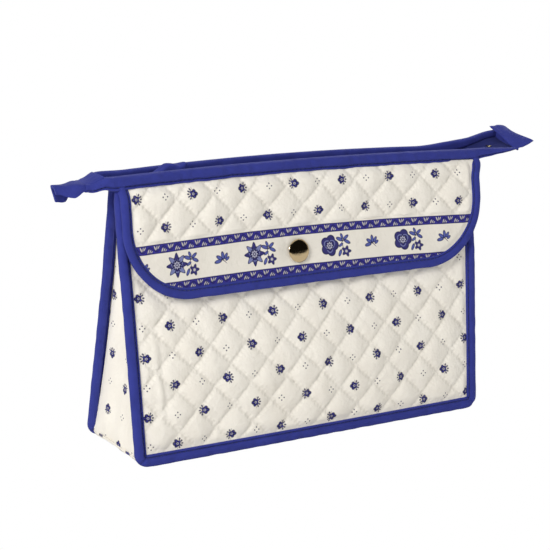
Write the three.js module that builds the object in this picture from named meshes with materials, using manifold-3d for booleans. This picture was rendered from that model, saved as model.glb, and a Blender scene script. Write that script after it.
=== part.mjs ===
// A quilted cosmetic pouch: a wedge-shaped fabric bag with a zipped mouth, bound seams, a wrap-round gusset,
// and a front pocket closed by a rounded flap with a press stud.
// Millimetres. +X is to the right when facing the front, the front faces -Y, +Z is up, and the origin is the
// middle of the base on the surface that the pouch stands on.
import * as THREE from "three";
import { mergeVertices } from "three/addons/utils/BufferGeometryUtils.js";
import Module from "manifold-3d";

const wasm = await Module();
wasm.setup();

// Size of the bag
const baseWidth = 260;
const baseDepth = 72;
const bodyHeight = 177;
const frontTopSetback = 6;
const backTopAtEnds = 8.5;
const backTopAtMiddle = 14;
const frontFlareLeft = 0.8;
const frontFlareRight = 6;
const backTaper = 3;
const flareHeight = 108;
const mouthSlope = 1.35;
const mouthArch = 2.3;
const frontSwell = 4;
const swellMargin = 7;

// Cloth, lining and the clearance between pieces that touch
const gap = 0.3;
const seamGap = 0.6;
const quiltThickness = 2.4;
const gussetThickness = 1.6;
const liningThickness = 0.8;

// Bias bindings
const seamBindingWidth = 7.7;
const seamBindingProud = 0.8;
const seamBindingThickness = 5.4;
const seamCornerRadius = 0.8;
const topBindingHeight = 8;
const topBindingProud = 2;
const topBindingThickness = 5;
const flapBindingWidth = 7;
const flapBindingProud = 0.6;
const flapBindingThickness = 4.3;
const pocketBindingHeight = 7;
const pocketBindingProud = 0.5;
const pocketBindingThickness = 3.3;

// Front pocket, and how far the wall steps forward above it
const pocketDrop = 28;
const pocketGap = 0.6;
const stepClearance = 3.7;
const stepHeight = 10;

// Flap
const flapOverhangLeft = 0;
const flapOverhangRight = 9;
const flapDrop = 78;
const flapCorner = 45;
const flapStandoff = 5.2;
const flapStandoffAtTop = 3.5;
const flapThickness = 2.3;
const flapLiningThickness = 0.5;

// Gussets and base
const gussetRecess = 4.6;
const gussetBulge = 3.5;
const gussetBulgeHeight = 22;
const gussetBelowZip = 5;
const gussetFoldAtBase = 3;
const gussetFoldAtTop = 9;
const gussetFoldGrowth = 1.5;
const liningInset = 3;
const baseEndSetback = 2;
const baseRiseHeight = 3.5;
const baseRiseLength = 20;

// Zip
const zipSetback = 0.55;
const zipDrop = 9;
const tapeThickness = 0.6;
const tapeLeg = 4.2;
const coilWidth = 2;
const coilHeight = 2;
const coilGap = 1.2;
const sliderLength = 8;
const sliderWidth = 6;
const sliderPlate = 1;
const sliderBridge = 0.6;
const sliderInset = 25;
const bailLength = 6;
const bailWidth = 1.6;
const bailBar = 1;
const bailOpening = 2;
const pullBar = 1.2;
const pullLength = 28;
const pullWidth = 7;
const pullThickness = 2.4;
const pullArmLength = 5;
const pullTilt = 14;
const stopLength = 2.4;
const stopInset = 12.2;

// Fabric tails that carry the zip past the bag's ends
const backBindingInset = 4;
const leftTailOffset = 3;
const rightTailOffset = 9.5;
const leftTailLength = 16.5;
const leftTabLength = 18.5;
const leftTabHeight = 9;
const leftTabDepth = 12;
const tailThinning = 0.7;
const leftTailDrop = 3;
const rightTailLength = 30.7;
const rightTailRise = 6.9;
const rightTailSpread = 7;
const rightTailTwist = 0.13;
const rightTabWidth = 10.5;
const rightTabThickness = 4;
const rightTabReach = 1;
const rightTabLift = 3.2;
const rightTabTilt = 0.21;
const tapeOverhang = 10;
// Depths at which a twisted tail's height is taken, for its bindings and for its zip tapes
const bindingOffset = 10;
const tapeOffset = 6;

// Press stud
const snapX = -6;
const snapRise = 19.8;
const capRadius = 7.5;
const capThickness = 1.4;
const shankRadius = 1.8;
const shankHole = 2.2;
const socketRadius = 5;
const socketBore = 2.5;
const socketThickness = 1.2;
const studRadius = 5;
const studSeatDepth = 1;
const studHeadRadius = 2;
const postRadius = 4.5;
const postThickness = 0.5;
const postShankRadius = 1.2;

// Colours
const blue = 0x3a4296;
const cream = 0xece6da;
const liningCream = 0xe6e0d2;
const paleGold = 0xb9a878;
const steel = 0xb8b4aa;

// Places that follow from the sizes
const halfWidth = baseWidth / 2;
const baseEnd = halfWidth - baseEndSetback;
const frontSwellPeriod = bodyHeight - swellMargin;
const pocketHeight = bodyHeight - pocketDrop;
const stepStart = pocketHeight + gap + pocketBindingHeight + stepClearance;
const flapLeft = -halfWidth - flapOverhangLeft;
const flapRight = halfWidth + flapOverhangRight;
const flapBottom = bodyHeight - flapDrop;
const snapHeight = flapBottom + snapRise;
const zipHeight = bodyHeight - zipDrop;
const zipCentre = (backTopAtEnds - frontTopSetback) / 2 + zipSetback;
const gussetTop = zipHeight - gussetBelowZip;
const sliderX = -halfWidth + sliderInset;
const backBindingEnd = halfWidth - backBindingInset;
const leftTailStart = -halfWidth - leftTailOffset;
const leftTailEnd = leftTailStart - leftTailLength;
const leftTabEnd = leftTailEnd - leftTabLength;
const rightTailStart = halfWidth + rightTailOffset;
const rightTailEnd = rightTailStart + rightTailLength;
const tapeStart = -halfWidth - tapeOverhang;
const stopX = rightTailEnd - stopInset;

// Facets of the sheets of cloth, and how far a cutting tool runs past a face
const reach = 1;
const baseColumns = 20;
const baseRows = 3;
const sheetColumns = 12;
const sheetRows = 13;

function lerp(a, b, t) {
  return a + (b - a) * t;
}

function clamp01(t) {
  return Math.min(Math.max(t, 0), 1);
}

function smooth(t) {
  const c = clamp01(t);
  return c * c * (3 - 2 * c);
}

// How much a wall bows at x: 1 in the middle and 0 at the seams
function bow(x) {
  return Math.max(0, 1 - (x / halfWidth) ** 2);
}

// Outer face of the front, which leans back, swells near the base and is pressed in behind the flap
function frontFace(x, z) {
  const lean = lerp(-baseDepth / 2, -frontTopSetback, z / bodyHeight);
  const swell = frontSwell * Math.sin((2 * Math.PI * z) / frontSwellPeriod);
  return lean - swell * bow(x);
}

// Outer face of the back, which leans forward and bows out along the mouth
function backFace(x, z) {
  const top = lerp(backTopAtEnds, backTopAtMiddle, bow(x));
  return lerp(baseDepth / 2, top, z / bodyHeight);
}

// Left and right outlines of the front and back walls
function frontLeft(z) {
  return -halfWidth - frontFlareLeft * clamp01(z / flareHeight);
}

function frontRight(z) {
  return halfWidth + frontFlareRight * clamp01(z / flareHeight);
}

function backLeft(z) {
  return -halfWidth + backTaper * clamp01(z / flareHeight);
}

function backRight(z) {
  return -backLeft(z);
}

// Top of the mouth bindings: highest near the middle, lowest at the right
function mouthTop(x) {
  const k = x / halfWidth;
  return bodyHeight - mouthSlope * k - mouthArch * Math.min(k * k, 1);
}

function wallTop(x) {
  return mouthTop(x) - topBindingHeight - gap;
}

// The cloth of the base turns up softly at its two ends
function baseRise(x) {
  const past = Math.max(0, Math.abs(x) - (baseEnd - baseRiseLength));
  return baseRiseHeight * (past / baseRiseLength) ** 2;
}

// How far the front wall steps forward above the pocket
function wallStep(z) {
  return (quiltThickness + pocketGap - gap) * smooth((z - stepStart) / stepHeight);
}

// How far the flap's outer face stands off the front's outer face
function flapOffset(z) {
  return lerp(flapStandoff, flapStandoffAtTop, smooth((z - stepStart) / stepHeight));
}

// Depths behind the front's outer face, and in front of the back's outer face
const frontWallDepth = quiltThickness + pocketGap;
const frontLiningDepth = frontWallDepth + quiltThickness + gap;
const frontInnerDepth = frontLiningDepth + liningThickness;
const seamBindingBack = seamBindingThickness - seamBindingProud;
const topBindingBack = topBindingThickness - topBindingProud;
const backLiningDepth = quiltThickness + gap;
const backInnerDepth = backLiningDepth + liningThickness;

function point(x, y, z) {
  return new THREE.Vector3(x, y, z);
}

// Makes a closed geometry from corner points and triangles, and turns it outside out if need be
function closedGeometry(points, triangles) {
  let volume = 0;
  for (const [a, b, c] of triangles) {
    volume += points[a].dot(points[b].clone().cross(points[c]));
  }
  const index = triangles.flatMap(([a, b, c]) => (volume < 0 ? [a, c, b] : [a, b, c]));
  const geometry = new THREE.BufferGeometry();
  geometry.setFromPoints(points);
  geometry.setIndex(index);
  return geometry;
}

// Closed body between two grids of points that share their rows and columns
function between(nearAt, farAt, columns, rows) {
  const points = [];
  const triangles = [];
  for (const at of [nearAt, farAt]) {
    for (let i = 0; i <= columns; i++) {
      for (let j = 0; j <= rows; j++) {
        points.push(at(i / columns, j / rows));
      }
    }
  }
  const layer = (columns + 1) * (rows + 1);
  const near = (i, j) => i * (rows + 1) + j;
  const far = (i, j) => layer + near(i, j);
  const quad = (a, b, c, d) => triangles.push([a, b, c], [a, c, d]);
  for (let i = 0; i < columns; i++) {
    for (let j = 0; j < rows; j++) {
      quad(near(i, j), near(i + 1, j), near(i + 1, j + 1), near(i, j + 1));
      quad(far(i, j), far(i, j + 1), far(i + 1, j + 1), far(i + 1, j));
    }
  }
  for (let i = 0; i < columns; i++) {
    quad(near(i, 0), far(i, 0), far(i + 1, 0), near(i + 1, 0));
    quad(near(i, rows), near(i + 1, rows), far(i + 1, rows), far(i, rows));
  }
  for (let j = 0; j < rows; j++) {
    quad(near(0, j), near(0, j + 1), far(0, j + 1), far(0, j));
    quad(near(columns, j), far(columns, j), far(columns, j + 1), near(columns, j + 1));
  }
  return closedGeometry(points, triangles);
}

// Closed body through a row of rings, each a list of the same number of points
function loft(rings) {
  const count = rings[0].length;
  const points = rings.flat();
  const triangles = [];
  for (let r = 0; r + 1 < rings.length; r++) {
    for (let i = 0; i < count; i++) {
      const a = r * count + i;
      const b = r * count + ((i + 1) % count);
      triangles.push([a, b, b + count], [a, b + count, a + count]);
    }
  }
  const last = (rings.length - 1) * count;
  for (let i = 1; i + 1 < count; i++) {
    triangles.push([0, i + 1, i], [last, last + i, last + i + 1]);
  }
  return closedGeometry(points, triangles);
}

// A sheet of cloth in a wall: limits in x and z, its outer face, and its depth and thickness into the bag
function wallSheet({ left, right, bottom, top, face, depth, thickness, inward, spread = (u) => u }) {
  const at = (extra) => (u, w) => {
    const share = spread(u);
    const xGuess = lerp(left(0), right(0), share);
    const z = lerp(bottom(xGuess), top(xGuess), w);
    const x = lerp(left(z), right(z), share);
    return point(x, face(x, z) + inward * (depth(z) + extra), z);
  };
  return between(at(0), at(thickness), sheetColumns, sheetRows);
}

// A strip of binding that follows a list of edge points: each has its inner edge and its outward direction
function edgeBinding(path, width, nearY, farY) {
  const rings = path.map(({ x, z, nx, nz }) => {
    const outX = x + nx * width;
    const outZ = z + nz * width;
    return [
      point(x, nearY(x, z), z),
      point(outX, nearY(outX, outZ), outZ),
      point(outX, farY(outX, outZ), outZ),
      point(x, farY(x, z), z),
    ];
  });
  return loft(rings);
}

// Inner edge of a seam binding: down the left side, along the base and up the right side
function seamPath(left, right, top) {
  const inset = seamBindingWidth;
  const legSteps = 7;
  const baseSteps = 12;
  const cornerSteps = 3;
  const path = [];
  const lowest = inset + seamCornerRadius;
  for (let i = 0; i < legSteps; i++) {
    const z = lerp(top, lowest, i / legSteps);
    path.push({ x: left(z) + inset, z, nx: -1, nz: 0 });
  }
  const corner = (side, from) => {
    const edge = side < 0 ? left(lowest) : right(lowest);
    const centreX = edge - side * (inset + seamCornerRadius);
    for (let i = 0; i <= cornerSteps; i++) {
      const angle = from + (i / cornerSteps) * (Math.PI / 2);
      const nx = Math.cos(angle);
      const nz = Math.sin(angle);
      path.push({ x: centreX + nx * seamCornerRadius, z: lowest + nz * seamCornerRadius, nx, nz });
    }
    return centreX;
  };
  const startX = corner(-1, Math.PI);
  const endX = right(lowest) - inset - seamCornerRadius;
  for (let i = 1; i < baseSteps; i++) {
    path.push({ x: lerp(startX, endX, i / baseSteps), z: inset, nx: 0, nz: -1 });
  }
  corner(1, 1.5 * Math.PI);
  for (let i = 1; i <= legSteps; i++) {
    const z = lerp(lowest, top, i / legSteps);
    path.push({ x: right(z) - inset, z, nx: 1, nz: 0 });
  }
  return path;
}

// Outer edge of the flap: down the left side, round both corners and up the right side
function flapOutline() {
  const cornerTop = flapBottom + flapCorner;
  const legSteps = 3;
  const cornerSteps = 10;
  const bottomSteps = 8;
  const outline = [];
  for (let i = 0; i < legSteps; i++) {
    outline.push([flapLeft, lerp(wallTop(flapLeft), cornerTop, i / legSteps)]);
  }
  for (let i = 0; i <= cornerSteps; i++) {
    const angle = (i / cornerSteps) * (Math.PI / 2);
    const across = flapCorner * Math.cos(angle);
    const down = flapCorner * Math.sin(angle);
    outline.push([flapLeft + flapCorner - across, cornerTop - down]);
  }
  for (let i = 1; i < bottomSteps; i++) {
    outline.push([lerp(flapLeft + flapCorner, flapRight - flapCorner, i / bottomSteps), flapBottom]);
  }
  for (let i = cornerSteps; i >= 0; i--) {
    const angle = (i / cornerSteps) * (Math.PI / 2);
    const across = flapCorner * Math.cos(angle);
    const down = flapCorner * Math.sin(angle);
    outline.push([flapRight - flapCorner + across, cornerTop - down]);
  }
  for (let i = 1; i <= legSteps; i++) {
    outline.push([flapRight, lerp(cornerTop, wallTop(flapRight), i / legSteps)]);
  }
  return outline;
}

// The flap's outline moved in by a distance, with the outward direction kept at each point
function flapPath(inset) {
  const outline = flapOutline();
  return outline.map(([x, z], i) => {
    const [x0, z0] = outline[Math.max(i - 1, 0)];
    const [x1, z1] = outline[Math.min(i + 1, outline.length - 1)];
    const length = Math.hypot(x1 - x0, z1 - z0);
    const nx = (z1 - z0) / length;
    const nz = -(x1 - x0) / length;
    return { x: x - nx * inset, z: z - nz * inset, nx, nz };
  });
}

// Height of a path's lower edge under x
function lowerEdge(path, x) {
  for (let i = 0; i + 1 < path.length; i++) {
    const a = path[i];
    const b = path[i + 1];
    if (b.x - a.x > 1e-6 && x >= a.x - 1e-6 && x <= b.x + 1e-6) {
      return lerp(a.z, b.z, (x - a.x) / (b.x - a.x));
    }
  }
  return path[0].z;
}

function solidOf(geometry) {
  const bare = geometry.clone();
  bare.deleteAttribute("normal");
  bare.deleteAttribute("uv");
  const merged = mergeVertices(bare);
  const vertProperties = new Float32Array(merged.attributes.position.array);
  const triVerts = new Uint32Array(merged.index.array);
  return new wasm.Manifold(new wasm.Mesh({ numProp: 3, vertProperties, triVerts }));
}

function geometryOf(solid) {
  const mesh = solid.getMesh();
  const geometry = new THREE.BufferGeometry();
  geometry.setAttribute("position", new THREE.BufferAttribute(mesh.vertProperties, 3));
  geometry.setIndex(new THREE.BufferAttribute(mesh.triVerts, 1));
  return geometry;
}

function box(width, depth, height, x, y, z) {
  return new THREE.BoxGeometry(width, depth, height).translate(x, y, z);
}

function join(geometries) {
  return geometryOf(geometries.map(solidOf).reduce((a, b) => a.add(b)));
}

function cut(geometry, tools) {
  return geometryOf(tools.map(solidOf).reduce((a, b) => a.subtract(b), solidOf(geometry)));
}

const pouch = new THREE.Group();
pouch.name = "cosmetic_pouch";

function addPiece(name, geometry, color, roughness = 0.9, metalness = 0) {
  const material = new THREE.MeshStandardMaterial({ color, roughness, metalness });
  const mesh = new THREE.Mesh(geometry, material);
  mesh.name = name;
  pouch.add(mesh);
  return mesh;
}

// Press stud: its own axis is Y before it is turned square to the front
const snapSurfaceY = frontFace(snapX, snapHeight);
const snapSlope = (frontFace(snapX, snapHeight + 1) - frontFace(snapX, snapHeight - 1)) / 2;
const snapTurn = new THREE.Matrix4()
  .makeTranslation(snapX, snapSurfaceY, snapHeight)
  .multiply(new THREE.Matrix4().makeRotationX(-Math.atan(snapSlope)));

// A disc about the snap's axis, from one depth behind the front's outer face to another
function snapDisc(radius, from, to) {
  const segments = 24;
  const disc = new THREE.CylinderGeometry(radius, radius, to - from, segments);
  return disc.translate(0, (from + to) / 2, 0).applyMatrix4(snapTurn);
}

const flapOuter = -flapStandoff;
const flapInner = flapOuter + flapThickness;
const flapLiningOuter = flapInner + gap;
const flapLiningInner = flapLiningOuter + flapLiningThickness;
const socketBack = flapLiningInner + gap + socketThickness;
const studSeat = studSeatDepth + gap;

function makeBase() {
  const frontEdge = (x) => frontFace(x, baseRiseHeight + gussetThickness) + seamBindingBack + seamGap;
  const backEdge = (x) => backFace(x, baseRiseHeight + gussetThickness) - seamBindingBack - seamGap;
  const panelAt = (height) => (u, w) => {
    const x = lerp(-baseEnd, baseEnd, u);
    return point(x, lerp(frontEdge(x), backEdge(x), w), baseRise(x) + height);
  };
  addPiece("base_panel", between(panelAt(0), panelAt(gussetThickness), baseColumns, baseRows), cream);
  const liningEnd = baseEnd - liningInset;
  const liningAt = (height) => (u, w) => {
    const x = lerp(-liningEnd, liningEnd, u);
    return point(x, lerp(frontEdge(x), backEdge(x), w), baseRise(x) + height);
  };
  const low = gussetThickness + gap;
  const lining = between(liningAt(low), liningAt(low + liningThickness), baseColumns, baseRows);
  addPiece("base_lining", lining, liningCream);
}

function makeFrontWall() {
  const left = (z) => frontLeft(z) + seamBindingWidth + gap;
  const right = (z) => frontRight(z) - seamBindingWidth - gap;
  const panelBottom = () => seamBindingWidth + gap;
  const common = { left, right, face: frontFace, inward: 1 };
  const pocket = wallSheet({
    ...common,
    bottom: panelBottom,
    top: () => pocketHeight,
    depth: () => 0,
    thickness: quiltThickness,
  });
  const seat = snapDisc(studRadius + gap, -reach, studSeatDepth + gap);
  const hole = snapDisc(shankHole, -reach, quiltThickness + reach);
  const seatDepth = quiltThickness - postThickness - gap;
  const postSeat = snapDisc(postRadius + gap, seatDepth, quiltThickness + reach);
  addPiece("pocket_panel", cut(pocket, [seat, hole, postSeat]), cream);
  const edge = [];
  const steps = 16;
  for (let i = 0; i <= steps; i++) {
    const z = pocketHeight + gap;
    edge.push({ x: lerp(left(z), right(z), i / steps), z, nx: 0, nz: 1 });
  }
  const near = (x, z) => frontFace(x, z) - pocketBindingProud;
  const far = (x, z) => frontFace(x, z) + pocketBindingThickness - pocketBindingProud - gap;
  addPiece("pocket_top_binding", edgeBinding(edge, pocketBindingHeight, near, far), blue);
  const front = wallSheet({
    ...common,
    bottom: panelBottom,
    top: wallTop,
    depth: (z) => frontWallDepth - wallStep(z),
    thickness: quiltThickness,
  });
  addPiece("front_panel", front, cream);
  const lining = wallSheet({
    ...common,
    left: (z) => left(z) + liningInset,
    right: (z) => right(z) - liningInset,
    bottom: (x) => baseRise(x) + gussetThickness + liningThickness + gap + seamGap,
    top: wallTop,
    depth: (z) => frontLiningDepth - wallStep(z),
    thickness: liningThickness,
  });
  addPiece("front_lining", lining, liningCream);
}

function makeBackWall() {
  const left = (z) => backLeft(z) + seamBindingWidth + gap;
  const right = (z) => backRight(z) - seamBindingWidth - gap;
  const common = { left, right, face: backFace, inward: -1 };
  const panel = wallSheet({
    ...common,
    bottom: () => seamBindingWidth + gap,
    top: wallTop,
    depth: () => 0,
    thickness: quiltThickness,
  });
  addPiece("back_panel", panel, cream);
  const lining = wallSheet({
    ...common,
    bottom: () => seamBindingWidth + gap,
    top: wallTop,
    depth: () => backLiningDepth,
    thickness: liningThickness,
  });
  addPiece("back_lining", lining, liningCream);
}

function makeSeamBindings() {
  const legTop = Math.min(wallTop(-halfWidth), wallTop(halfWidth));
  const frontNear = (x, z) => frontFace(x, z) - seamBindingProud + wallStep(z);
  const frontFar = (x, z) => frontFace(x, z) + seamBindingBack;
  const front = edgeBinding(seamPath(frontLeft, frontRight, legTop), seamBindingWidth, frontNear, frontFar);
  addPiece("front_seam_binding", front, blue);
  const backNear = (x, z) => backFace(x, z) + seamBindingProud;
  const backFar = (x, z) => backFace(x, z) - seamBindingBack;
  const back = edgeBinding(seamPath(backLeft, backRight, legTop), seamBindingWidth, backNear, backFar);
  addPiece("back_seam_binding", back, blue);
}

// A gusset closes one end: its cloth bulges near the base and folds inwards towards the top
function makeGusset(side, name, columns = 8, rows = 10) {
  const edge = side < 0 ? frontLeft : frontRight;
  const outerX = (z) => {
    const flat = Math.abs(edge(z)) - gussetRecess;
    return flat + gussetBulge * Math.exp(-z / gussetBulgeHeight);
  };
  const frontSeat = frontLiningDepth;
  const backSeat = seamBindingBack + seamGap;
  const frontY = (z) => frontFace(edge(z), z) + frontSeat;
  const backY = (z) => backFace(backRight(z), z) - backSeat;
  const foldAt = (z, y) => {
    const depth = lerp(gussetFoldAtBase, gussetFoldAtTop, (z / gussetTop) ** gussetFoldGrowth);
    const middle = (frontY(z) + backY(z)) / 2;
    const half = (backY(z) - frontY(z)) / 2;
    return depth * (1 - Math.abs(y - middle) / half);
  };
  const sheet = (bottom, trim, setIn) => (u, w) => {
    const z = lerp(bottom, gussetTop, w);
    const middle = (frontY(z) + backY(z)) / 2;
    const y = u < 0.5 ? lerp(frontY(z) + trim, middle, 2 * u) : lerp(middle, backY(z), 2 * u - 1);
    return point(side * (outerX(z) - foldAt(z, y) - setIn), y, z);
  };
  const bottom = baseRiseHeight + gussetThickness + gap;
  const cloth = between(sheet(bottom, 0, 0), sheet(bottom, 0, gussetThickness), columns, rows);
  addPiece(name, cloth, cream);
  const liningBottom = bottom + liningThickness + gap;
  const trim = liningThickness + gap;
  const setIn = gussetThickness + seamGap;
  const lining = between(
    sheet(liningBottom, trim, setIn),
    sheet(liningBottom, trim, setIn + liningThickness),
    columns,
    rows,
  );
  addPiece(name + "_lining", lining, liningCream);
}

function makeFlap() {
  const near = (x, z) => frontFace(x, z) - flapOffset(z) - flapBindingProud;
  const far = (x, z) => near(x, z) + flapBindingThickness;
  addPiece("flap_binding", edgeBinding(flapPath(flapBindingWidth), flapBindingWidth, near, far), blue);
  const inner = flapPath(flapBindingWidth + gap);
  const spread = (u) => 0.5 - 0.5 * Math.cos(Math.PI * u);
  const common = {
    left: () => inner[0].x,
    right: () => inner[inner.length - 1].x,
    bottom: (x) => lowerEdge(inner, x),
    top: wallTop,
    face: frontFace,
    inward: 1,
    spread,
  };
  const panel = wallSheet({ ...common, depth: (z) => -flapOffset(z), thickness: flapThickness });
  const lining = wallSheet({
    ...common,
    depth: (z) => -flapOffset(z) + flapThickness + gap,
    thickness: flapLiningThickness,
  });
  const hole = snapDisc(shankHole, flapOuter - 2 * reach, reach);
  addPiece("flap_panel", cut(panel, [hole]), cream);
  addPiece("flap_lining", cut(lining, [hole]), liningCream);
}

function makeSnap() {
  const capBack = flapOuter - gap;
  const capDisc = snapDisc(capRadius, capBack - capThickness, capBack);
  const shank = snapDisc(shankRadius, capBack - capThickness / 2, flapLiningInner);
  addPiece("snap_cap", join([capDisc, shank]), paleGold, 0.25, 1);
  const ring = snapDisc(socketRadius, flapLiningInner + gap, socketBack);
  const bore = snapDisc(socketBore, flapOuter, reach);
  addPiece("snap_socket", cut(ring, [bore]), steel, 0.3, 1);
  const studBase = snapDisc(studRadius, gap, studSeat - gap);
  const studHead = snapDisc(studHeadRadius, flapLiningInner + 2 * gap, studSeat - gap);
  addPiece("snap_stud", join([studBase, studHead]), steel, 0.3, 1);
  const washer = snapDisc(postRadius, quiltThickness - postThickness, quiltThickness);
  const pin = snapDisc(postShankRadius, studSeat, quiltThickness - postThickness / 2);
  addPiece("snap_post", join([washer, pin]), steel, 0.3, 1);
}

// How far along each tail a point is: 0 at the bag's end and 1 where the end tab starts
function leftTail(x) {
  return clamp01((x - leftTailStart) / (leftTailEnd - leftTailStart));
}

function rightTail(x) {
  return clamp01((x - rightTailStart) / (rightTailEnd - rightTailStart));
}

// Middle height of the mouth bindings, along the walls and out along the tails
function stripMiddle(x, y) {
  const along = mouthTop(Math.min(Math.max(x, leftTailStart), rightTailStart)) - topBindingHeight / 2;
  const rise = (rightTailRise + rightTailTwist * y) * smooth(rightTail(x));
  return along + rise - leftTailDrop * smooth(leftTail(x));
}

// In the left tail the bindings close up to the zip between them
const tailInner = coilGap / 2 + coilWidth + tapeThickness + 3 * gap;

// Inner faces of the front and back mouth bindings
function frontStripInner(x, z) {
  const inner = frontFace(x, z) + topBindingBack;
  const leftEnd = lerp(inner, zipCentre - tailInner, smooth(leftTail(x)));
  return leftEnd - rightTailSpread * smooth(rightTail(x));
}

function backStripInner(x, z) {
  const inner = backFace(x, z) - topBindingBack;
  const leftEnd = lerp(inner, zipCentre + tailInner, smooth(leftTail(x)));
  return leftEnd + (rightTailSpread / 2) * smooth(rightTail(x));
}

// A mouth binding from one x to another, outside the mouth's inner face by its thickness
function mouthStrip(fromX, toX, inner, outward, steps) {
  const rings = [];
  for (let i = 0; i <= steps; i++) {
    const x = lerp(fromX, toX, i / steps);
    const thin = lerp(1, tailThinning, Math.max(leftTail(x), rightTail(x)));
    const half = topBindingHeight / 2;
    const middle = stripMiddle(x, outward * bindingOffset);
    const low = middle - half;
    const high = middle + half;
    const out = outward * topBindingThickness * thin;
    rings.push([
      point(x, inner(x, low), low),
      point(x, inner(x, low) + out, low),
      point(x, inner(x, high) + out, high),
      point(x, inner(x, high), high),
    ]);
  }
  return loft(rings);
}

function makeMouthBindings() {
  const front = mouthStrip(leftTailEnd, rightTailEnd, frontStripInner, -1, 32);
  addPiece("front_top_binding", front, blue);
  const back = mouthStrip(-backBindingEnd + gap, backBindingEnd - gap, backStripInner, 1, 20);
  addPiece("back_top_binding", back, blue);
  addPiece("left_tail_binding", mouthStrip(leftTailEnd, -backBindingEnd, backStripInner, 1, 6), blue);
  addPiece("right_tail_binding", mouthStrip(backBindingEnd, rightTailEnd, backStripInner, 1, 8), blue);
}

function makeEndTabs() {
  const rings = [];
  const steps = 3;
  for (let i = 0; i <= steps; i++) {
    const x = lerp(leftTailEnd - gap, leftTabEnd, i / steps);
    const middle = stripMiddle(leftTailEnd, 0) - (leftTailDrop / 2) * (i / steps);
    const halfY = leftTabDepth / 2;
    const halfZ = leftTabHeight / 2;
    rings.push([
      point(x, zipCentre - halfY, middle - halfZ),
      point(x, zipCentre + halfY, middle - halfZ),
      point(x, zipCentre + halfY, middle + halfZ),
      point(x, zipCentre - halfY, middle + halfZ),
    ]);
  }
  addPiece("left_end_tab", loft(rings), blue);
  const endZ = stripMiddle(rightTailEnd, 0);
  const frontY = frontStripInner(rightTailEnd, endZ) - topBindingThickness * tailThinning - rightTabReach;
  const backY = backStripInner(rightTailEnd, endZ) + topBindingThickness * tailThinning + rightTabReach;
  const start = rightTailEnd + gap;
  const tabZ = (y) => endZ + rightTabLift + rightTabTilt * y;
  const half = rightTabThickness / 2;
  const ring = (x) => [
    point(x, frontY, tabZ(frontY) - half),
    point(x, backY, tabZ(backY) - half),
    point(x, backY, tabZ(backY) + half),
    point(x, frontY, tabZ(frontY) + half),
  ];
  addPiece("right_end_tab", loft([ring(start), ring(start + rightTabWidth)]), blue);
}

// Height of the zip's line: level between the walls, and following the tails
function zipLine(x, y) {
  const rise = (rightTailRise + rightTailTwist * y) * smooth(rightTail(x));
  return zipHeight + rise - leftTailDrop * smooth(leftTail(x));
}

// A zip tape: a leg down the lining and a shelf that reaches the coil
function makeTape(name, outward, inner) {
  const rings = [];
  const steps = 26;
  const shelfEnd = zipCentre + outward * (coilGap / 2 + coilWidth + gap);
  for (let i = 0; i <= steps; i++) {
    const x = lerp(tapeStart, rightTailEnd, i / steps);
    const legTop = zipLine(x, outward * tapeOffset);
    const shelf = zipLine(x, 0);
    const leg = (z) => inner(x, z);
    rings.push([
      point(x, leg(legTop - tapeThickness) - outward * tapeThickness, legTop - tapeThickness),
      point(x, leg(legTop - tapeLeg) - outward * tapeThickness, legTop - tapeLeg),
      point(x, leg(legTop - tapeLeg), legTop - tapeLeg),
      point(x, leg(legTop), legTop),
      point(x, shelfEnd, shelf),
      point(x, shelfEnd, shelf - tapeThickness),
    ]);
  }
  addPiece(name, loft(rings), blue);
}

function makeCoil(name, outward) {
  const rings = [];
  const steps = 20;
  const near = zipCentre + (outward * coilGap) / 2;
  const far = near + outward * coilWidth;
  for (let i = 0; i <= steps; i++) {
    const x = lerp(tapeStart, stopX - stopLength, i / steps);
    const middle = zipLine(x, 0) - tapeThickness / 2;
    rings.push([
      point(x, near, middle - coilHeight / 2),
      point(x, far, middle - coilHeight / 2),
      point(x, far, middle + coilHeight / 2),
      point(x, near, middle + coilHeight / 2),
    ]);
  }
  addPiece(name, loft(rings), blue, 0.6);
}

function makeZip() {
  const frontLeg = (x, z) => {
    const depth = Math.max(frontInnerDepth - wallStep(z), seamBindingBack) + gap;
    const spread = rightTailSpread * smooth(rightTail(x));
    return Math.max(frontFace(x, z) + depth - spread, frontStripInner(x, z) + gap);
  };
  const backLeg = (x, z) => {
    const depth = Math.max(backInnerDepth, seamBindingBack) + gap;
    const spread = (rightTailSpread / 2) * smooth(rightTail(x));
    return Math.min(backFace(x, z) - depth + spread, backStripInner(x, z) - gap);
  };
  makeTape("zip_tape_front", -1, frontLeg);
  makeTape("zip_tape_back", 1, backLeg);
  makeCoil("zip_coil_front", -1);
  makeCoil("zip_coil_back", 1);
  const stopZ = zipLine(stopX, 0) - tapeThickness / 2;
  const stopDepth = coilGap + 2 * coilWidth;
  const stop = box(stopLength, stopDepth, coilHeight, stopX, zipCentre, stopZ);
  addPiece("zip_end_stop", stop, paleGold, 0.3, 1);
}

// Slider: two plates joined by a bridge between the coils, with a bail on top for the pull
const coilMiddle = zipHeight - tapeThickness / 2;
const plateInner = coilHeight / 2 + gap;
const sliderTop = coilMiddle + plateInner + sliderPlate;
const bailTop = sliderTop + bailOpening + bailBar;
const pullPivotZ = sliderTop + bailOpening / 2;

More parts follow.
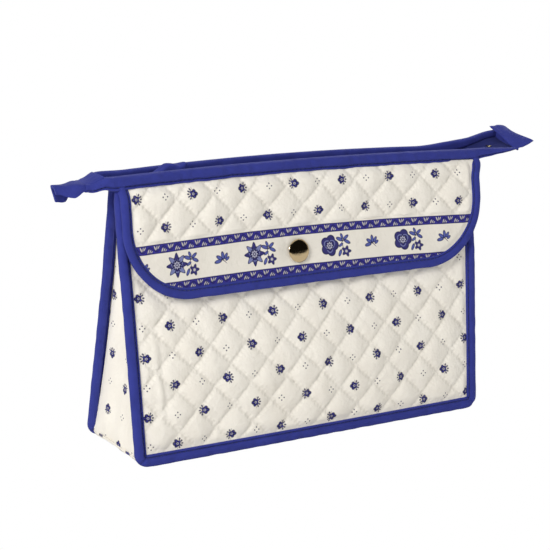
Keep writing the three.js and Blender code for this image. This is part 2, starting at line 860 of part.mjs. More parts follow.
function makeSlider() {
  const plateZ = plateInner + sliderPlate / 2;
  const plates = [plateZ, -plateZ].map((z) =>
    box(sliderLength, sliderWidth, sliderPlate, sliderX, zipCentre, coilMiddle + z),
  );
  const bridgeHeight = 2 * plateInner + sliderPlate;
  const bridgeX = sliderX - sliderLength / 4;
  const bridge = box(sliderLength / 4, sliderBridge, bridgeHeight, bridgeX, zipCentre, coilMiddle);
  const postHeight = bailOpening + bailBar + sliderPlate / 2;
  const posts = [-1, 1].map((side) => {
    const x = sliderX + (side * (bailLength - bailBar)) / 2;
    return box(bailBar, bailWidth, postHeight, x, zipCentre, bailTop - postHeight / 2);
  });
  const bar = box(bailLength, bailWidth, bailBar, sliderX, zipCentre, bailTop - bailBar / 2);
  addPiece("zip_slider", join([...plates, bridge, ...posts, bar]), blue, 0.4, 0.2);
}

// Pull: a cross bar under the bail, two arms and a fabric-covered tab that lies along the zip
function makePull() {
  const armY = (pullWidth - pullBar) / 2;
  const bar = box(pullBar, pullWidth, pullBar, 0, 0, 0);
  const arms = [-1, 1].map((side) => box(pullArmLength, pullBar, pullBar, pullArmLength / 2, side * armY, 0));
  const tabLength = pullLength - pullArmLength;
  const tab = box(tabLength, pullWidth, pullThickness, pullArmLength + tabLength / 2, 0, 0);
  const pull = join([bar, ...arms, tab]);
  pull.rotateY(-THREE.MathUtils.degToRad(pullTilt));
  pull.translate(sliderX, zipCentre, pullPivotZ);
  addPiece("zip_pull", pull, blue, 0.8);
}

makeBase();
makeFrontWall();
makeBackWall();
makeSeamBindings();
makeGusset(-1, "left_gusset");
makeGusset(1, "right_gusset");
makeFlap();
makeSnap();
makeMouthBindings();
makeEndTabs();
makeZip();
makeSlider();
makePull();

export default pouch;
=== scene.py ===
"""A quilted cosmetic pouch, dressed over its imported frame.

The bag is a wedge of diamond-quilted printed cotton with bound seams, a wrap-round gusset, a zipped mouth
whose bindings run on as tails, and a front pocket under a rounded flap with a press stud.
Sizes are in millimetres and turn to metres where a mesh is made. +X is to the right when facing the front,
the front faces -Y, and +Z is up.
"""

import logging
import math
from dataclasses import dataclass
from enum import Enum
from typing import Callable, Sequence

import bmesh
import bpy
import numpy as np
from mathutils import Matrix, Vector


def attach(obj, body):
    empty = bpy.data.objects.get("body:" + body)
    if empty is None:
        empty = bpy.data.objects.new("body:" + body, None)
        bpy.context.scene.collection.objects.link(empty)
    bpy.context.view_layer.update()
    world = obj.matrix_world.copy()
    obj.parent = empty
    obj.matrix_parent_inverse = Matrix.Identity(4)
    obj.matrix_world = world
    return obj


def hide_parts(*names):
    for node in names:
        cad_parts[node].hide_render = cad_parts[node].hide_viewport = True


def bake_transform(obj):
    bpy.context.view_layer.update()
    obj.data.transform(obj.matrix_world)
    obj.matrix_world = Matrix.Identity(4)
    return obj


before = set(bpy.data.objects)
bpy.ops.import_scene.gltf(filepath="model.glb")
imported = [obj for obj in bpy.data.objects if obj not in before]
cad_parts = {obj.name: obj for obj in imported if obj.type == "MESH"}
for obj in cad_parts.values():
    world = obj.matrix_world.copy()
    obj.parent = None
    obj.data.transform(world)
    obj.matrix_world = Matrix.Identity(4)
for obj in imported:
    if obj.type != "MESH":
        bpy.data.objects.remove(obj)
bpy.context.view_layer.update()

LOG = logging.getLogger("pouch")
MM = 0.001
TAU = 2 * math.pi
# The sign of x at each end of the bag, and its word in the pieces' names
SIDES = ((-1, "left"), (1, "right"))

Array = np.ndarray
Number = float | Array
Face = Callable[[Number, Number], Number]
Piece = bpy.types.Object
Nodes = bpy.types.NodeTree
Socket = bpy.types.NodeSocket


# Shaping helpers


def lerp(a: Number, b: Number, share: Number) -> Number:
    """Goes from a to b by a share from 0 to 1."""
    return a + (b - a) * share


def smooth(share: Number) -> Number:
    """Eases from 0 to 1, flat at both ends."""
    held = np.clip(share, 0.0, 1.0)
    return held * held * (3 - 2 * held)


def ripple(x: Number, y: Number, wavelength: float, seed: int) -> Number:
    """Soft irregular waves, for the unevenness of cloth.

    Args:
        x: First coordinate in millimetres.
        y: Second coordinate in millimetres.
        wavelength: Typical distance between two crests.
        seed: Chooses one pattern of waves.

    Returns:
        Values that stay mostly between -1 and 1.
    """
    chance = np.random.default_rng(seed)
    waves = 7
    total = 0.0
    for _ in range(waves):
        angle = chance.uniform(0, TAU)
        pace = TAU / wavelength * chance.uniform(0.6, 1.5)
        phase = chance.uniform(0, TAU)
        total = total + np.sin(pace * (x * math.cos(angle) + y * math.sin(angle)) + phase)
    return total / math.sqrt(waves)


def ease(at: Number, start: float, end: float) -> Number:
    """Eases from 0 at start to 1 at end, which may lie below start."""
    return smooth((at - start) / (end - start))


def hill(at: Number, middle: float, reach: float) -> Number:
    """A smooth hill, 1 high in its middle."""
    return np.exp(-(((at - middle) / reach) ** 2))


def stacked(*parts: Number) -> Array:
    """Brings coordinates to one shape and puts them together as points."""
    return np.stack(np.broadcast_arrays(*parts), -1)


def walked(points: Array) -> Array:
    """Distance of each point along a line of points."""
    return np.concatenate([[0.0], np.cumsum(np.linalg.norm(np.diff(points, axis=0), axis=1))])


def beside(face: Face, offset: float) -> Face:
    """A face moved in depth."""
    return lambda x, z: face(x, z) + offset


def grid(columns: int, rows: int) -> tuple[Array, Array]:
    """Shares from 0 to 1 across and up a grid."""
    return np.meshgrid(np.linspace(0, 1, columns), np.linspace(0, 1, rows), indexing="ij")


def to_edge(
    x: Array,
    z: Array,
    sides: tuple[Number, Number],
    heights: tuple[Number, Number] = (-math.inf, math.inf),
) -> Array:
    """Distance to the nearest of a panel's edges.

    Args:
        x: Places on the panel, across.
        z: Places on the panel, up.
        sides: x of its left and right edges.
        heights: z of its bottom and top edges, where they count.

    Returns:
        The distances in millimetres.
    """
    across = np.minimum(x - sides[0], sides[1] - x)
    return np.minimum(across, np.minimum(z - heights[0], heights[1] - z))


@dataclass(frozen=True)
class Bag:
    """Sizes of the sewn bag, and the faces and edges that every piece is cut to."""

    half_width: float = 130.0
    base_depth: float = 72.0
    body_height: float = 177.0
    front_top_setback: float = 6.0
    back_top_at_ends: float = 8.5
    back_top_at_middle: float = 14.0
    front_flare_left: float = 0.8
    front_flare_right: float = 6.0
    back_taper: float = 3.0
    flare_height: float = 108.0
    mouth_slope: float = 1.35
    mouth_arch: float = 2.3
    front_swell: float = 4.0
    front_swell_period: float = 170.0
    quilt: float = 2.4
    lining: float = 0.8
    flattened: float = 4.5
    sunk: float = 1.3
    seam_width: float = 7.7
    seam_proud: float = 0.8
    seam_back: float = 4.6
    slack: float = 0.3
    top_height: float = 8.0
    top_back: float = 3.0
    top_thickness: float = 5.0
    step_start: float = 160.0
    step_height: float = 10.0
    wall_depth: float = 3.0
    base_end: float = 128.0
    base_turn: float = 20.0
    base_lift: float = 3.5
    lining_rise: float = 3.4
    zip_height: float = 168.0
    zip_centre: float = 1.8
    flap_offset: float = 5.2
    stud_x: float = -6.0
    stud_height: float = 118.8

    def bow(self, x: Array) -> Array:
        """How much a wall bows at x: 1 in the middle and 0 at the seams."""
        return np.maximum(0.0, 1 - (x / self.half_width) ** 2)

    def front(self, x: Array, z: Array) -> Array:
        """Depth of the front's outer face."""
        lean = lerp(-self.base_depth / 2, -self.front_top_setback, z / self.body_height)
        return lean - self.front_swell * np.sin(TAU * z / self.front_swell_period) * self.bow(x)

    def back(self, x: Array, z: Array) -> Array:
        """Depth of the back's outer face."""
        top = lerp(self.back_top_at_ends, self.back_top_at_middle, self.bow(x))
        return lerp(self.base_depth / 2, top, z / self.body_height)

    def front_edge(self, side: int, z: Array) -> Array:
        """Outline of the front wall on one side."""
        flare = self.front_flare_left if side < 0 else self.front_flare_right
        return side * (self.half_width + flare * np.clip(z / self.flare_height, 0, 1))

    def back_edge(self, side: int, z: Array) -> Array:
        """Outline of the back wall on one side."""
        return side * (self.half_width - self.back_taper * np.clip(z / self.flare_height, 0, 1))

    def mouth_top(self, x: Array) -> Array:
        """Top of the mouth bindings."""
        k = x / self.half_width
        return self.body_height - self.mouth_slope * k - self.mouth_arch * np.minimum(k * k, 1)

    def wall_top(self, x: Array) -> Array:
        """Top of the walls, under the mouth bindings."""
        return self.mouth_top(x) - self.top_height - self.slack

    def wall_step(self, z: Array) -> Array:
        """How far the front wall steps forward above the pocket."""
        return 2.7 * smooth((z - self.step_start) / self.step_height)

    def base_rise(self, x: Array) -> Array:
        """How far the base turns up towards its ends."""
        past = np.maximum(0.0, np.abs(x) - (self.base_end - self.base_turn))
        return self.base_lift * (past / self.base_turn) ** 2

    def above_base(self, x: Array, z: Array) -> Array:
        """Height of a lining, held above the base's own."""
        return np.maximum(z, self.lining_rise + self.base_rise(x))

    def up_front(self, z: Array) -> Array:
        """Distance up the leaning front from its base."""
        return z * math.hypot(1.0, (self.base_depth / 2 - self.front_top_setback) / self.body_height)


BAG = Bag()


# Mesh helpers


def linked(name: str, data: bpy.types.ID) -> Piece:
    """Puts data into the scene as an object."""
    made = bpy.data.objects.new(name, data)
    bpy.context.collection.objects.link(made)
    return made


def select_only(*pieces: Piece) -> None:
    """Leaves just these objects selected, with the first one active."""
    if bpy.context.mode != "OBJECT":
        bpy.ops.object.mode_set(mode="OBJECT")
    bpy.ops.object.select_all(action="DESELECT")
    for piece in pieces:
        piece.select_set(True)
    bpy.context.view_layer.objects.active = pieces[0]


def shade(piece: Piece, degrees: float = 55.0) -> None:
    """Smooths a piece's shading, but for edges sharper than an angle."""
    select_only(piece)
    bpy.ops.object.shade_smooth_by_angle(angle=math.radians(degrees))


def work_on(piece: Piece, *steps: Callable[[], object]) -> None:
    """Runs mesh tools one after another on the whole of a piece."""
    select_only(piece)
    bpy.ops.object.mode_set(mode="EDIT")
    for step in steps:
        bpy.ops.mesh.select_all(action="SELECT")
        step()
    bpy.ops.object.mode_set(mode="OBJECT")


def mesh_piece(name: str, points: Array, faces: Sequence, uv: Array | None = None) -> Piece:
    """Makes a smooth mesh object with its faces turned outwards.

    Args:
        name: Name of the piece.
        points: Its points in millimetres.
        faces: Lists of point numbers.
        uv: Place of each point on the flat cloth in millimetres.

    Returns:
        The object, at the origin.
    """
    mesh = bpy.data.meshes.new(name)
    mesh.from_pydata((np.asarray(points) * MM).tolist(), [], [[int(i) for i in face] for face in faces])
    if uv is not None:
        layer = mesh.uv_layers.new(name="cloth")
        corners = np.empty(len(mesh.loops), dtype=np.int32)
        mesh.loops.foreach_get("vertex_index", corners)
        layer.data.foreach_set("uv", np.asarray(uv, dtype=np.float32)[corners].ravel())
    work = bmesh.new()
    work.from_mesh(mesh)
    bmesh.ops.recalc_face_normals(work, faces=work.faces)
    work.to_mesh(mesh)
    work.free()
    piece = linked(name, mesh)
    shade(piece)
    return piece


def sheet_piece(name: str, outer: Sequence, inner: Sequence, flat: Sequence) -> Piece:
    """Closes two grids of points into one sheet of cloth.

    Args:
        name: Name of the piece.
        outer: x, y and z of the outer face's points, as grids of columns by rows.
        inner: x, y and z of the inner face's points.
        flat: Place of the points on the flat cloth.

    Returns:
        The sheet.
    """
    near, far, uv = (stacked(*part) for part in (outer, inner, flat))
    count = near.shape[0] * near.shape[1]
    number = np.arange(count).reshape(near.shape[:2])

    def skin(grid: Array) -> Array:
        """Quads of one face."""
        corners = [grid[:-1, :-1], grid[1:, :-1], grid[1:, 1:], grid[:-1, 1:]]
        return np.stack(corners, -1).reshape(-1, 4)

    def rim(line: Array) -> Array:
        """Quads that close one edge."""
        return np.stack([line[:-1], line[1:], line[1:] + count, line[:-1] + count], -1)

    rims = [rim(line) for line in (number[:, 0], number[:, -1], number[0], number[-1])]
    faces = np.concatenate([skin(number), skin(number + count)[:, ::-1], *rims])
    points = np.concatenate([near.reshape(-1, 3), far.reshape(-1, 3)])
    return mesh_piece(name, points, faces, np.tile(uv.reshape(-1, 2), (2, 1)))


def loft_piece(name: str, rings: Sequence, flat: Sequence) -> Piece:
    """Closes a row of rings into one solid strip.

    Args:
        name: Name of the piece.
        rings: x, y and z of the points, as rings by points round each ring.
        flat: Place of the points on the flat cloth.

    Returns:
        The strip.
    """
    points, uv = stacked(*rings), stacked(*flat)
    count, around = points.shape[:2]
    number = np.arange(count * around).reshape(count, around)
    after = np.roll(number, -1, axis=1)
    quads = np.stack([number[:-1], number[1:], after[1:], after[:-1]], -1).reshape(-1, 4).tolist()
    ends = [number[0].tolist(), number[-1][::-1].tolist()]
    return mesh_piece(name, points.reshape(-1, 3), quads + ends, uv.reshape(-1, 2))


def taken(scale: Sequence[float]) -> tuple[Array, list]:
    """Takes the points and faces of the object just added, scaled, and deletes it."""
    model = bpy.context.active_object
    corners = np.array([v.co[:] for v in model.data.vertices]) * np.array(scale)
    faces = [list(face.vertices) for face in model.data.polygons]
    bpy.data.objects.remove(model)
    return corners, faces


def copies(name: str, placed: Sequence[Array], faces: list) -> Piece:
    """Makes one mesh of many copies of a small model, each given by its points."""
    count = len(placed[0])
    every = [[i + number * count for i in face] for number in range(len(placed)) for face in faces]
    return mesh_piece(name, np.concatenate(placed), every)


def joined(pieces: Sequence[Piece], name: str) -> Piece:
    """Joins objects into the first one and names it."""
    select_only(*pieces)
    bpy.ops.object.join()
    result = bpy.context.view_layer.objects.active
    result.name = name
    result.data.name = name
    return result


# Material helpers


def srgb(code: str) -> tuple[float, float, float, float]:
    """Turns a hex colour as seen on a screen into a linear one."""
    shares = [int(code[i : i + 2], 16) / 255 for i in (1, 3, 5)]
    linear = [c / 12.92 if c <= 0.04045 else ((c + 0.055) / 1.055) ** 2.4 for c in shares]
    return (*linear, 1.0)


def cleared(owner: bpy.types.ID) -> Nodes:
    """Empties the nodes of a material or world, and gives them."""
    owner.use_nodes = True
    owner.node_tree.nodes.clear()
    return owner.node_tree


def add_node(
    tree: Nodes, kind: str, settings: dict | None = None, inputs: dict | None = None
) -> bpy.types.Node:
    """Adds a shader node, and gives it its settings and inputs.

    Args:
        tree: The material's nodes.
        kind: The node's type without its prefix.
        settings: Property names and values.
        inputs: Socket names or numbers, each with a value, a socket or a Signal.

    Returns:
        The node.
    """
    made = tree.nodes.new("ShaderNode" + kind)
    for key, value in (settings or {}).items():
        setattr(made, key, value)
    for key, value in (inputs or {}).items():
        source = value.socket if isinstance(value, Signal) else value
        if isinstance(source, Socket):
            tree.links.new(source, made.inputs[key])
        else:
            made.inputs[key].default_value = source
    return made


class Signal:
    """A number that varies over a surface, so that a pattern can be written as arithmetic."""

    def __init__(self, tree: Nodes, socket: Socket) -> None:
        """Keeps the socket that gives the number."""
        self.tree = tree
        self.socket = socket

    def to(self, operation: str, *others: object) -> "Signal":
        """Puts the number, and others after it, through one operation."""
        made = add_node(self.tree, "Math", {"operation": operation}, dict(enumerate((self, *others))))
        return Signal(self.tree, made.outputs[0])

    def __add__(self, other: object) -> "Signal":
        """Adds."""
        return self.to("ADD", other)

    def __sub__(self, other: object) -> "Signal":
        """Subtracts."""
        return self.to("SUBTRACT", other)

    def __mul__(self, other: object) -> "Signal":
        """Multiplies."""
        return self.to("MULTIPLY", other)

    def __truediv__(self, other: object) -> "Signal":
        """Divides."""
        return self.to("DIVIDE", other)

    def size(self) -> "Signal":
        """The number without its sign."""
        return self.to("ABSOLUTE")

    def under(self, limit: object, soft: float) -> "Signal":
        """1 where the number is under a limit and 0 over it, with a soft edge."""
        gap = (self - limit) / soft
        return gap.to("MULTIPLY_ADD", -0.5, 0.5).to("MINIMUM", 1.0).to("MAXIMUM", 0.0)

    def inverse(self) -> "Signal":
        """One less the number."""
        return self.to("MULTIPLY_ADD", -1.0, 1.0)

    def wave(self, period: float) -> "Signal":
        """A sine with this period."""
        return (self * (TAU / period)).to("SINE")

    def near(self, middle: object, half: object, soft: float) -> "Signal":
        """1 where the number is within half of a middle value, with a soft edge."""
        return (self - middle).size().under(half, soft)

    def cell(self, pitch: float) -> tuple["Signal", "Signal"]:
        """Place within a repeat, counted from its middle, and the repeat's number."""
        apart = self / pitch
        number = apart.to("ROUND")
        return (apart - number) * pitch, number

    def over(self, base: Socket | str, paint: str) -> Socket:
        """Lays a paint over a base colour where the number is 1."""
        ends = {0: self, 6: srgb(base) if isinstance(base, str) else base, 7: srgb(paint)}
        return add_node(self.tree, "Mix", {"data_type": "RGBA"}, ends).outputs[2]


def printed(ground: Socket, *layers: tuple[Signal, str]) -> Socket:
    """Prints paints one after another over a ground, each where its number is 1."""
    for where, paint in layers:
        ground = where.over(ground, paint)
    return ground


# Quilting


@dataclass(frozen=True)
class Quilting:
    """Two families of stitched furrows that cross, with the padding puffed between them.

    A furrow of the rising family passes where its distance is rising_at, and so on for the falling one.
    """

    angle: float
    rising_pitch: float
    rising_at: float
    falling_pitch: float
    falling_at: float
    seed: int
    puff: float = 2.1
    sharpness: float = 0.56

    def height(self, u: Array, v: Array) -> Array:
        """How far the cloth stands out of its furrows at a place on the flat cloth."""
        s, c = math.sin(math.radians(self.angle)), math.cos(math.radians(self.angle))
        rising = (c * v - s * u - self.rising_at) / self.rising_pitch
        falling = (c * v + s * u - self.falling_at) / self.falling_pitch
        pillow = (np.abs(np.sin(math.pi * rising)) * np.abs(np.sin(math.pi * falling))) ** self.sharpness
        uneven = 1 + 0.14 * ripple(u, v, 21.0, self.seed + 1)
        tight = 0.10 * ripple(u, v, 5.5, self.seed + 2) * (1 - pillow)
        loose = 0.05 * ripple(u, v, 12.0, self.seed + 3)
        return self.puff * (pillow * uneven + tight + loose)


class PrintStyle(Enum):
    """Where on the bag a piece of the print lies, which decides how its rows fall."""

    WALL = "wall"
    FLAP = "flap"
    GUSSET = "gusset"


@dataclass(frozen=True)
class Lattice:
    """The staggered rows of the print: sprigs and four-dot clusters take turns.

    Rows rise by rise and motifs stand across apart. A sprig lies at the origin.
    """

    origin: tuple[float, float]
    across: float
    rise: float
    turned: bool = False


LATTICES = {
    PrintStyle.WALL: Lattice((10.8, 12.0), 18.6, 18.3),
    PrintStyle.FLAP: Lattice((10.1, 146.3), 18.4, 18.7),
    PrintStyle.GUSSET: Lattice((4.0, 3.0), 18.5, 18.5, turned=True),
}
# Shader inputs of matt cotton
MATT = {"Roughness": 0.9, "Sheen Weight": 0.03, "Specular IOR Level": 0.25}


@dataclass(frozen=True)
class Finish:
    """A finish: its record slot, what the real material is, and the nodes that all cloth and metal share."""

    slot: str
    name: str

    def material(self) -> bpy.types.Material:
        """Gives the finish's material, made the first time it is asked for."""
        known = bpy.data.materials.get(self.name)
        if known:
            return known
        made = bpy.data.materials.new(self.name)
        self.build(cleared(made))
        return made

    def build(self, tree: Nodes) -> None:
        """Makes the nodes."""
        raise NotImplementedError

    def flat_cloth(self, tree: Nodes) -> tuple[Signal, Signal]:
        """Place on the flat cloth in millimetres."""
        place = add_node(tree, "UVMap", {"uv_map": "cloth"})
        parts = add_node(tree, "SeparateXYZ", None, {0: place.outputs[0]})
        return Signal(tree, parts.outputs[0]), Signal(tree, parts.outputs[1])

    def mottle(self, tree: Nodes, per_mm: float, detail: float = 3.0) -> Signal:
        """Uneven patches in the piece's own space, with so many to the millimetre."""
        place = add_node(tree, "TexCoord")
        settings = {"Scale": per_mm / MM, "Detail": detail, "Vector": place.outputs["Object"]}
        return Signal(tree, add_node(tree, "TexNoise", None, settings).outputs[0])

    def surface(self, tree: Nodes, values: dict, relief: Signal, depth_mm: float) -> None:
        """Ends the nodes in a shader with its relief.

        Args:
            tree: The material's nodes.
            values: Inputs of the shader by name.
            relief: Height of the surface, about 0 to 1.
            depth_mm: How deep the relief is in millimetres.
        """
        bump = add_node(tree, "Bump", None, {"Strength": 1.0, "Distance": depth_mm * MM, "Height": relief})
        shader = add_node(tree, "BsdfPrincipled", None, {**values, "Normal": bump.outputs[0]})
        add_node(tree, "OutputMaterial", None, {"Surface": shader.outputs[0]})


@dataclass(frozen=True)
class PrintedCotton(Finish):
    """Plain-woven cotton, printed: matt, slightly fuzzy, with a fine grid of threads and a soft crumple."""

    style: PrintStyle
    cream: str = "#F9F4E9"
    shadow_cream: str = "#EFE8DB"
    # Painted shade: the border's plain cream is set darker than the quilted cream above it
    strip_cream_in_painted_shade: str = "#ECE6DA"
    navy: str = "#2C2A6C"
    ink: str = "#1D1B48"
    band: str = "#383490"
    leaf: str = "#5660A6"
    petal: str = "#36336F"
    light_petal: str = "#7A80B0"
    pale: str = "#C9C4C0"
    # Real threads are 0.25 mm apart; 0.8 mm is as fine as the picture can hold
    thread: float = 0.8

    def build(self, tree: Nodes) -> None:
        """Makes the ground, the print and the weave."""
        u, v = self.flat_cloth(tree)
        colour = self.mottle(tree, 0.05).over(self.cream, self.shadow_cream)
        if self.style in LATTICES:
            colour = self.sprigged(colour, u, v)
        if self.style is PrintStyle.FLAP:
            colour = self.bordered(colour, u, v)
        relief = u.wave(self.thread) * v.wave(self.thread) * 0.05 + self.mottle(tree, 0.28, 4.0)
        quilting = QUILTINGS.get(self.style)
        if quilting:
            seam = self.sewn(u, v, quilting)
            if self.style is PrintStyle.FLAP:
                above_border = v.to("GREATER_THAN", 137.0)
                seam = seam * above_border
            # Painted shade: the stitched furrows are tinted a little darker, besides their relief
            colour = (seam * 0.07).over(colour, "#A89F90")
            relief = relief - seam * 0.6
        self.surface(tree, {"Base Color": colour, **MATT}, relief, depth_mm=0.55)

    def sewn(self, u: Signal, v: Signal, quilting: Quilting) -> Signal:
        """The scalloped hollows that the stitches pull along the quilting's two families of furrows."""
        s, c = math.sin(math.radians(quilting.angle)), math.cos(math.radians(quilting.angle))
        families = (
            (v * c - u * s - quilting.rising_at, u * c + v * s, quilting.rising_pitch),
            (v * c + u * s - quilting.falling_at, u * c - v * s, quilting.falling_pitch),
        )
        lines = []
        for across, along, pitch in families:
            off, _ = across.cell(pitch)
            lines.append(off.size().under(along.wave(3.0) * 0.5 + 0.8, 1.0))
        return lines[0].to("MAXIMUM", lines[1])

    def sprigged(self, ground: Socket, u: Signal, v: Signal) -> Socket:
        """Prints the lattice of sprigs and dots over the ground."""
        rows = LATTICES[self.style]
        along, up = (v, u) if rows.turned else (u, v)
        x, column = (along - rows.origin[0]).cell(rows.across)
        y, row = (up - rows.origin[1]).cell(rows.rise)
        turn = (column + row) / 2
        is_dots = (turn.to("FRACT") - 0.25).to("GREATER_THAN", 0.0)
        way = (turn / 2).to("FRACT").to("GREATER_THAN", 0.4) * 2 - 1
        colour = self.sprig(ground, x * way, y, is_dots.inverse())
        a, b = x.size(), y.size()
        side = (a - 1.6).to("POWER", 2.0) + b.to("POWER", 2.0)
        tip = a.to("POWER", 2.0) + (b - 1.6).to("POWER", 2.0)
        return (side.to("MINIMUM", tip).under(0.2, 0.12) * is_dots).over(colour, self.ink)

    def sprig(self, ground: Socket, x: Signal, y: Signal, here: Signal) -> Socket:
        """Prints one small lobed flower with a fan of dashes beside it.

        Args:
            ground: The colour below.
            x: Place across the motif in millimetres.
            y: Place up the motif.
            here: 1 in the repeats that hold a sprig.

        Returns:
            The printed colour.
        """
        px = x + 0.8
        radius = (px * px + y * y).to("SQRT")
        angle = y.to("ARCTAN2", px)
        rim = (angle * 2.5).to("SINE").size() * 0.75 + (angle.to("COSINE") * -0.25 + 2.05)
        flower = radius.under(rim, 0.3) * here
        folds = (angle * 2.5).to("COSINE").size().under(0.6, 0.2) * radius.near(1.7, 0.45, 0.3)
        heart = (px - 0.1).to("MULTIPLY_ADD", px - 0.1, y * y)
        folded = ((angle / 0.5 + 0.5).to("FRACT") - 0.5) * 0.5
        dash = (folded * radius).size().under(0.48, 0.25) * radius.near(3.25, 0.7, 0.3)
        fan = dash * angle.size().under(1.4, 0.1) * here
        eye = heart.under(0.15, 0.12) * here
        pale_heart = heart.under(0.6, 0.4) * here
        layers = ((flower, self.ink), (folds * flower, "#3C3D92"), (pale_heart, "#BDB9C6"), (eye, self.ink))
        return printed(ground, (fan, self.ink), *layers)

    def blades(self, x: Signal, y: Signal, leaves: Sequence[tuple]) -> Signal:
        """Shape of several slim leaves: 0 in the middle of a leaf and 1 at its rim.

        Args:
            x: Place across the motif in millimetres.
            y: Place up the motif.
            leaves: Each leaf's middle in x and y, its angle in degrees, and half its length and its width.

        Returns:
            The value of the nearest leaf.
        """
        nearest = None
        for middle_x, middle_y, degrees, long, wide in leaves:
            c, s = math.cos(math.radians(degrees)), math.sin(math.radians(degrees))
            along = y.to("MULTIPLY_ADD", s / long, -(middle_x * c + middle_y * s) / long)
            along = x.to("MULTIPLY_ADD", c / long, along)
            across = y.to("MULTIPLY_ADD", c / wide, -(middle_y * c - middle_x * s) / wide)
            across = x.to("MULTIPLY_ADD", -s / wide, across)
            reach = along.to("MULTIPLY_ADD", along, across * across)
            nearest = nearest.to("MINIMUM", reach) if nearest else reach
        return nearest

    def bordered(self, ground: Socket, u: Signal, v: Signal) -> Socket:
        """Prints the flap's border: flowers on cream between two leafy bands, the border's cream darkened
        with painted shade.
        """
        low, strip_low, strip_high, high = 106.6, 112.6, 131.2, 136.8
        # Painted shade: below the quilting the cream ground is swapped for a darker one
        colour = v.under(high, 0.1).over(ground, self.strip_cream_in_painted_shade)
        colour = self.flowers(colour, u, v - (strip_low + strip_high) / 2)
        for bottom, top in ((low, strip_low), (strip_high, high)):
            middle = (bottom + top) / 2
            inside = v.near(middle, (top - bottom) / 2, 0.15)
            colour = self.leafy_band(colour, u, v - middle, inside)
        return colour

    def leafy_band(self, ground: Socket, u: Signal, w: Signal, inside: Signal) -> Socket:
        """Prints a navy band with a winding stem and pale tufts in turn above and below it.

        Args:
            ground: The colour below.
            u: Place along the cloth in millimetres.
            w: Place up from the middle of the band.
            inside: 1 within the band.

        Returns:
            The printed colour.
        """
        period = 9.6
        x, _ = u.cell(period)
        tufts = (
            (-3.6, 0.8, 112, 1.4, 0.4), (-2.3, 0.9, 78, 1.2, 0.28), (-1.1, 1.0, 56, 1.15, 0.32),
            (1.4, -0.8, 64, 1.3, 0.38), (2.7, -1.0, 60, 1.0, 0.3), (3.8, -1.4, 54, 0.7, 0.28),
        )
        reach = self.blades(x, w, tufts)
        edge = w.size().near(2.6, 0.3, 0.15)
        stem = w.near(x.wave(period) * 1.5, 0.35, 0.25)
        lines = edge.to("MAXIMUM", stem).to("MAXIMUM", reach.under(3.2, 1.2))
        tuft = reach.under(1.0, 0.6) * inside
        return printed(ground, (inside, self.band), (lines * inside, "#24215C"), (tuft, self.pale))

    def flowers(self, ground: Socket, u: Signal, w: Signal) -> Socket:
        """Prints the strip's large flowers, their twigs, and the small leaf sprays between them."""
        spacing, first_flower, first_spray = 56.4, -94.8, -62.0
        x, number = (u - first_flower).cell(spacing)
        between_x, _ = (u - first_spray).cell(spacing)
        is_star = number.under(1.5, 0.1)
        y = w - 0.6
        radius = (x * x + y * y).to("SQRT")
        angle = y.to("ARCTAN2", x)
        swing = (angle * 4).to("COSINE")
        points = (angle * 4).to("SINE").size().to("POWER", 1.6).inverse()
        star_rim = points * 2.9 + 4.5
        round_rim = (angle * 2.5).to("COSINE").size() * 1.5 + 5.2
        rim = star_rim * is_star + round_rim * is_star.inverse()
        flower = radius.under(rim, 0.3)
        dark_petal = (swing.to("GREATER_THAN", 0.0) + is_star.inverse()).to("MINIMUM", 1.0)
        outline = (rim - radius).size().under(0.36, 0.25)
        between = (swing.size() * radius).under(1.3, 0.5) * is_star
        curl = (radius - 3.6).near((angle * 3).to("SINE") * 0.7, 0.3, 0.25)
        inner = radius.under(points * 1.2 + 2.4, 0.3)
        return printed(
            self.spray(self.twig(ground, x, w), between_x, w),
            (flower, self.light_petal),
            (dark_petal * flower, self.petal),
            (curl * flower, self.light_petal),
            (outline.to("MAXIMUM", between) * radius.under(rim + 0.5, 0.3), self.ink),
            (inner, self.ink),
            (radius.under(points * 0.8 + 1.7, 0.25), "#B4B3C6"),
            (radius.near(0.9, 0.3, 0.25), self.ink),
        )

    def drawn(self, ground: Socket, reach: Signal) -> Socket:
        """Prints leaves in mid blue with a dark outline."""
        return printed(ground, (reach.under(1.7, 0.4), self.ink), (reach.under(0.85, 0.3), self.leaf))

    def twig(self, ground: Socket, x: Signal, w: Signal) -> Socket:
        """Prints the leafy twig and the small flower beside a large one."""
        leaves = (
            (7.8, 4.2, 158, 2.1, 0.95), (9.6, 6.0, 112, 1.6, 0.75), (12.6, 5.0, 36, 1.9, 0.85),
            (13.4, 2.2, -28, 2.0, 0.9), (8.6, 0.4, 30, 1.5, 0.7), (7.6, -4.6, 62, 1.9, 0.85),
        )
        stems = ((10.0, 2.6, 52, 4.2, 0.22), (11.4, 2.9, 4, 1.9, 0.18), (10.0, -0.6, 100, 3.0, 0.2))
        bx, by = x - 12.2, w + 3.8
        radius = (bx * bx + by * by).to("SQRT")
        rim = (by.to("ARCTAN2", bx) * 5).to("COSINE") * 0.75 + 2.7
        colour = self.blades(x, w, stems).under(1.0, 0.6).over(ground, self.ink)
        outline, petals = radius.under(rim + 0.25, 0.3), radius.under(rim - 0.3, 0.3)
        heart = (radius - 0.75).under(0.1, 0.3)
        colour = self.drawn(colour, self.blades(x, w, leaves))
        return printed(colour, (outline, self.ink), (petals, self.petal), (heart, self.pale))

    def spray(self, ground: Socket, x: Signal, w: Signal) -> Socket:
        """Prints the small leaf spray half-way between two large flowers."""
        leaves = (
            (-3.3, -0.9, 12, 2.1, 0.95), (-2.4, 1.4, 148, 1.9, 0.95), (0.1, 2.5, 98, 2.1, 0.95),
            (2.4, 2.0, 58, 1.7, 0.85), (3.4, 0.3, 35, 1.4, 0.75),
        )
        stems = ((1.0, -0.9, -42, 2.6, 0.22), (0.2, 0.9, 96, 1.6, 0.2), (-0.9, 0.1, 150, 1.6, 0.2))
        colour = self.blades(x, w, stems).under(1.0, 0.6).over(ground, self.ink)
        return self.drawn(colour, self.blades(x, w, leaves))


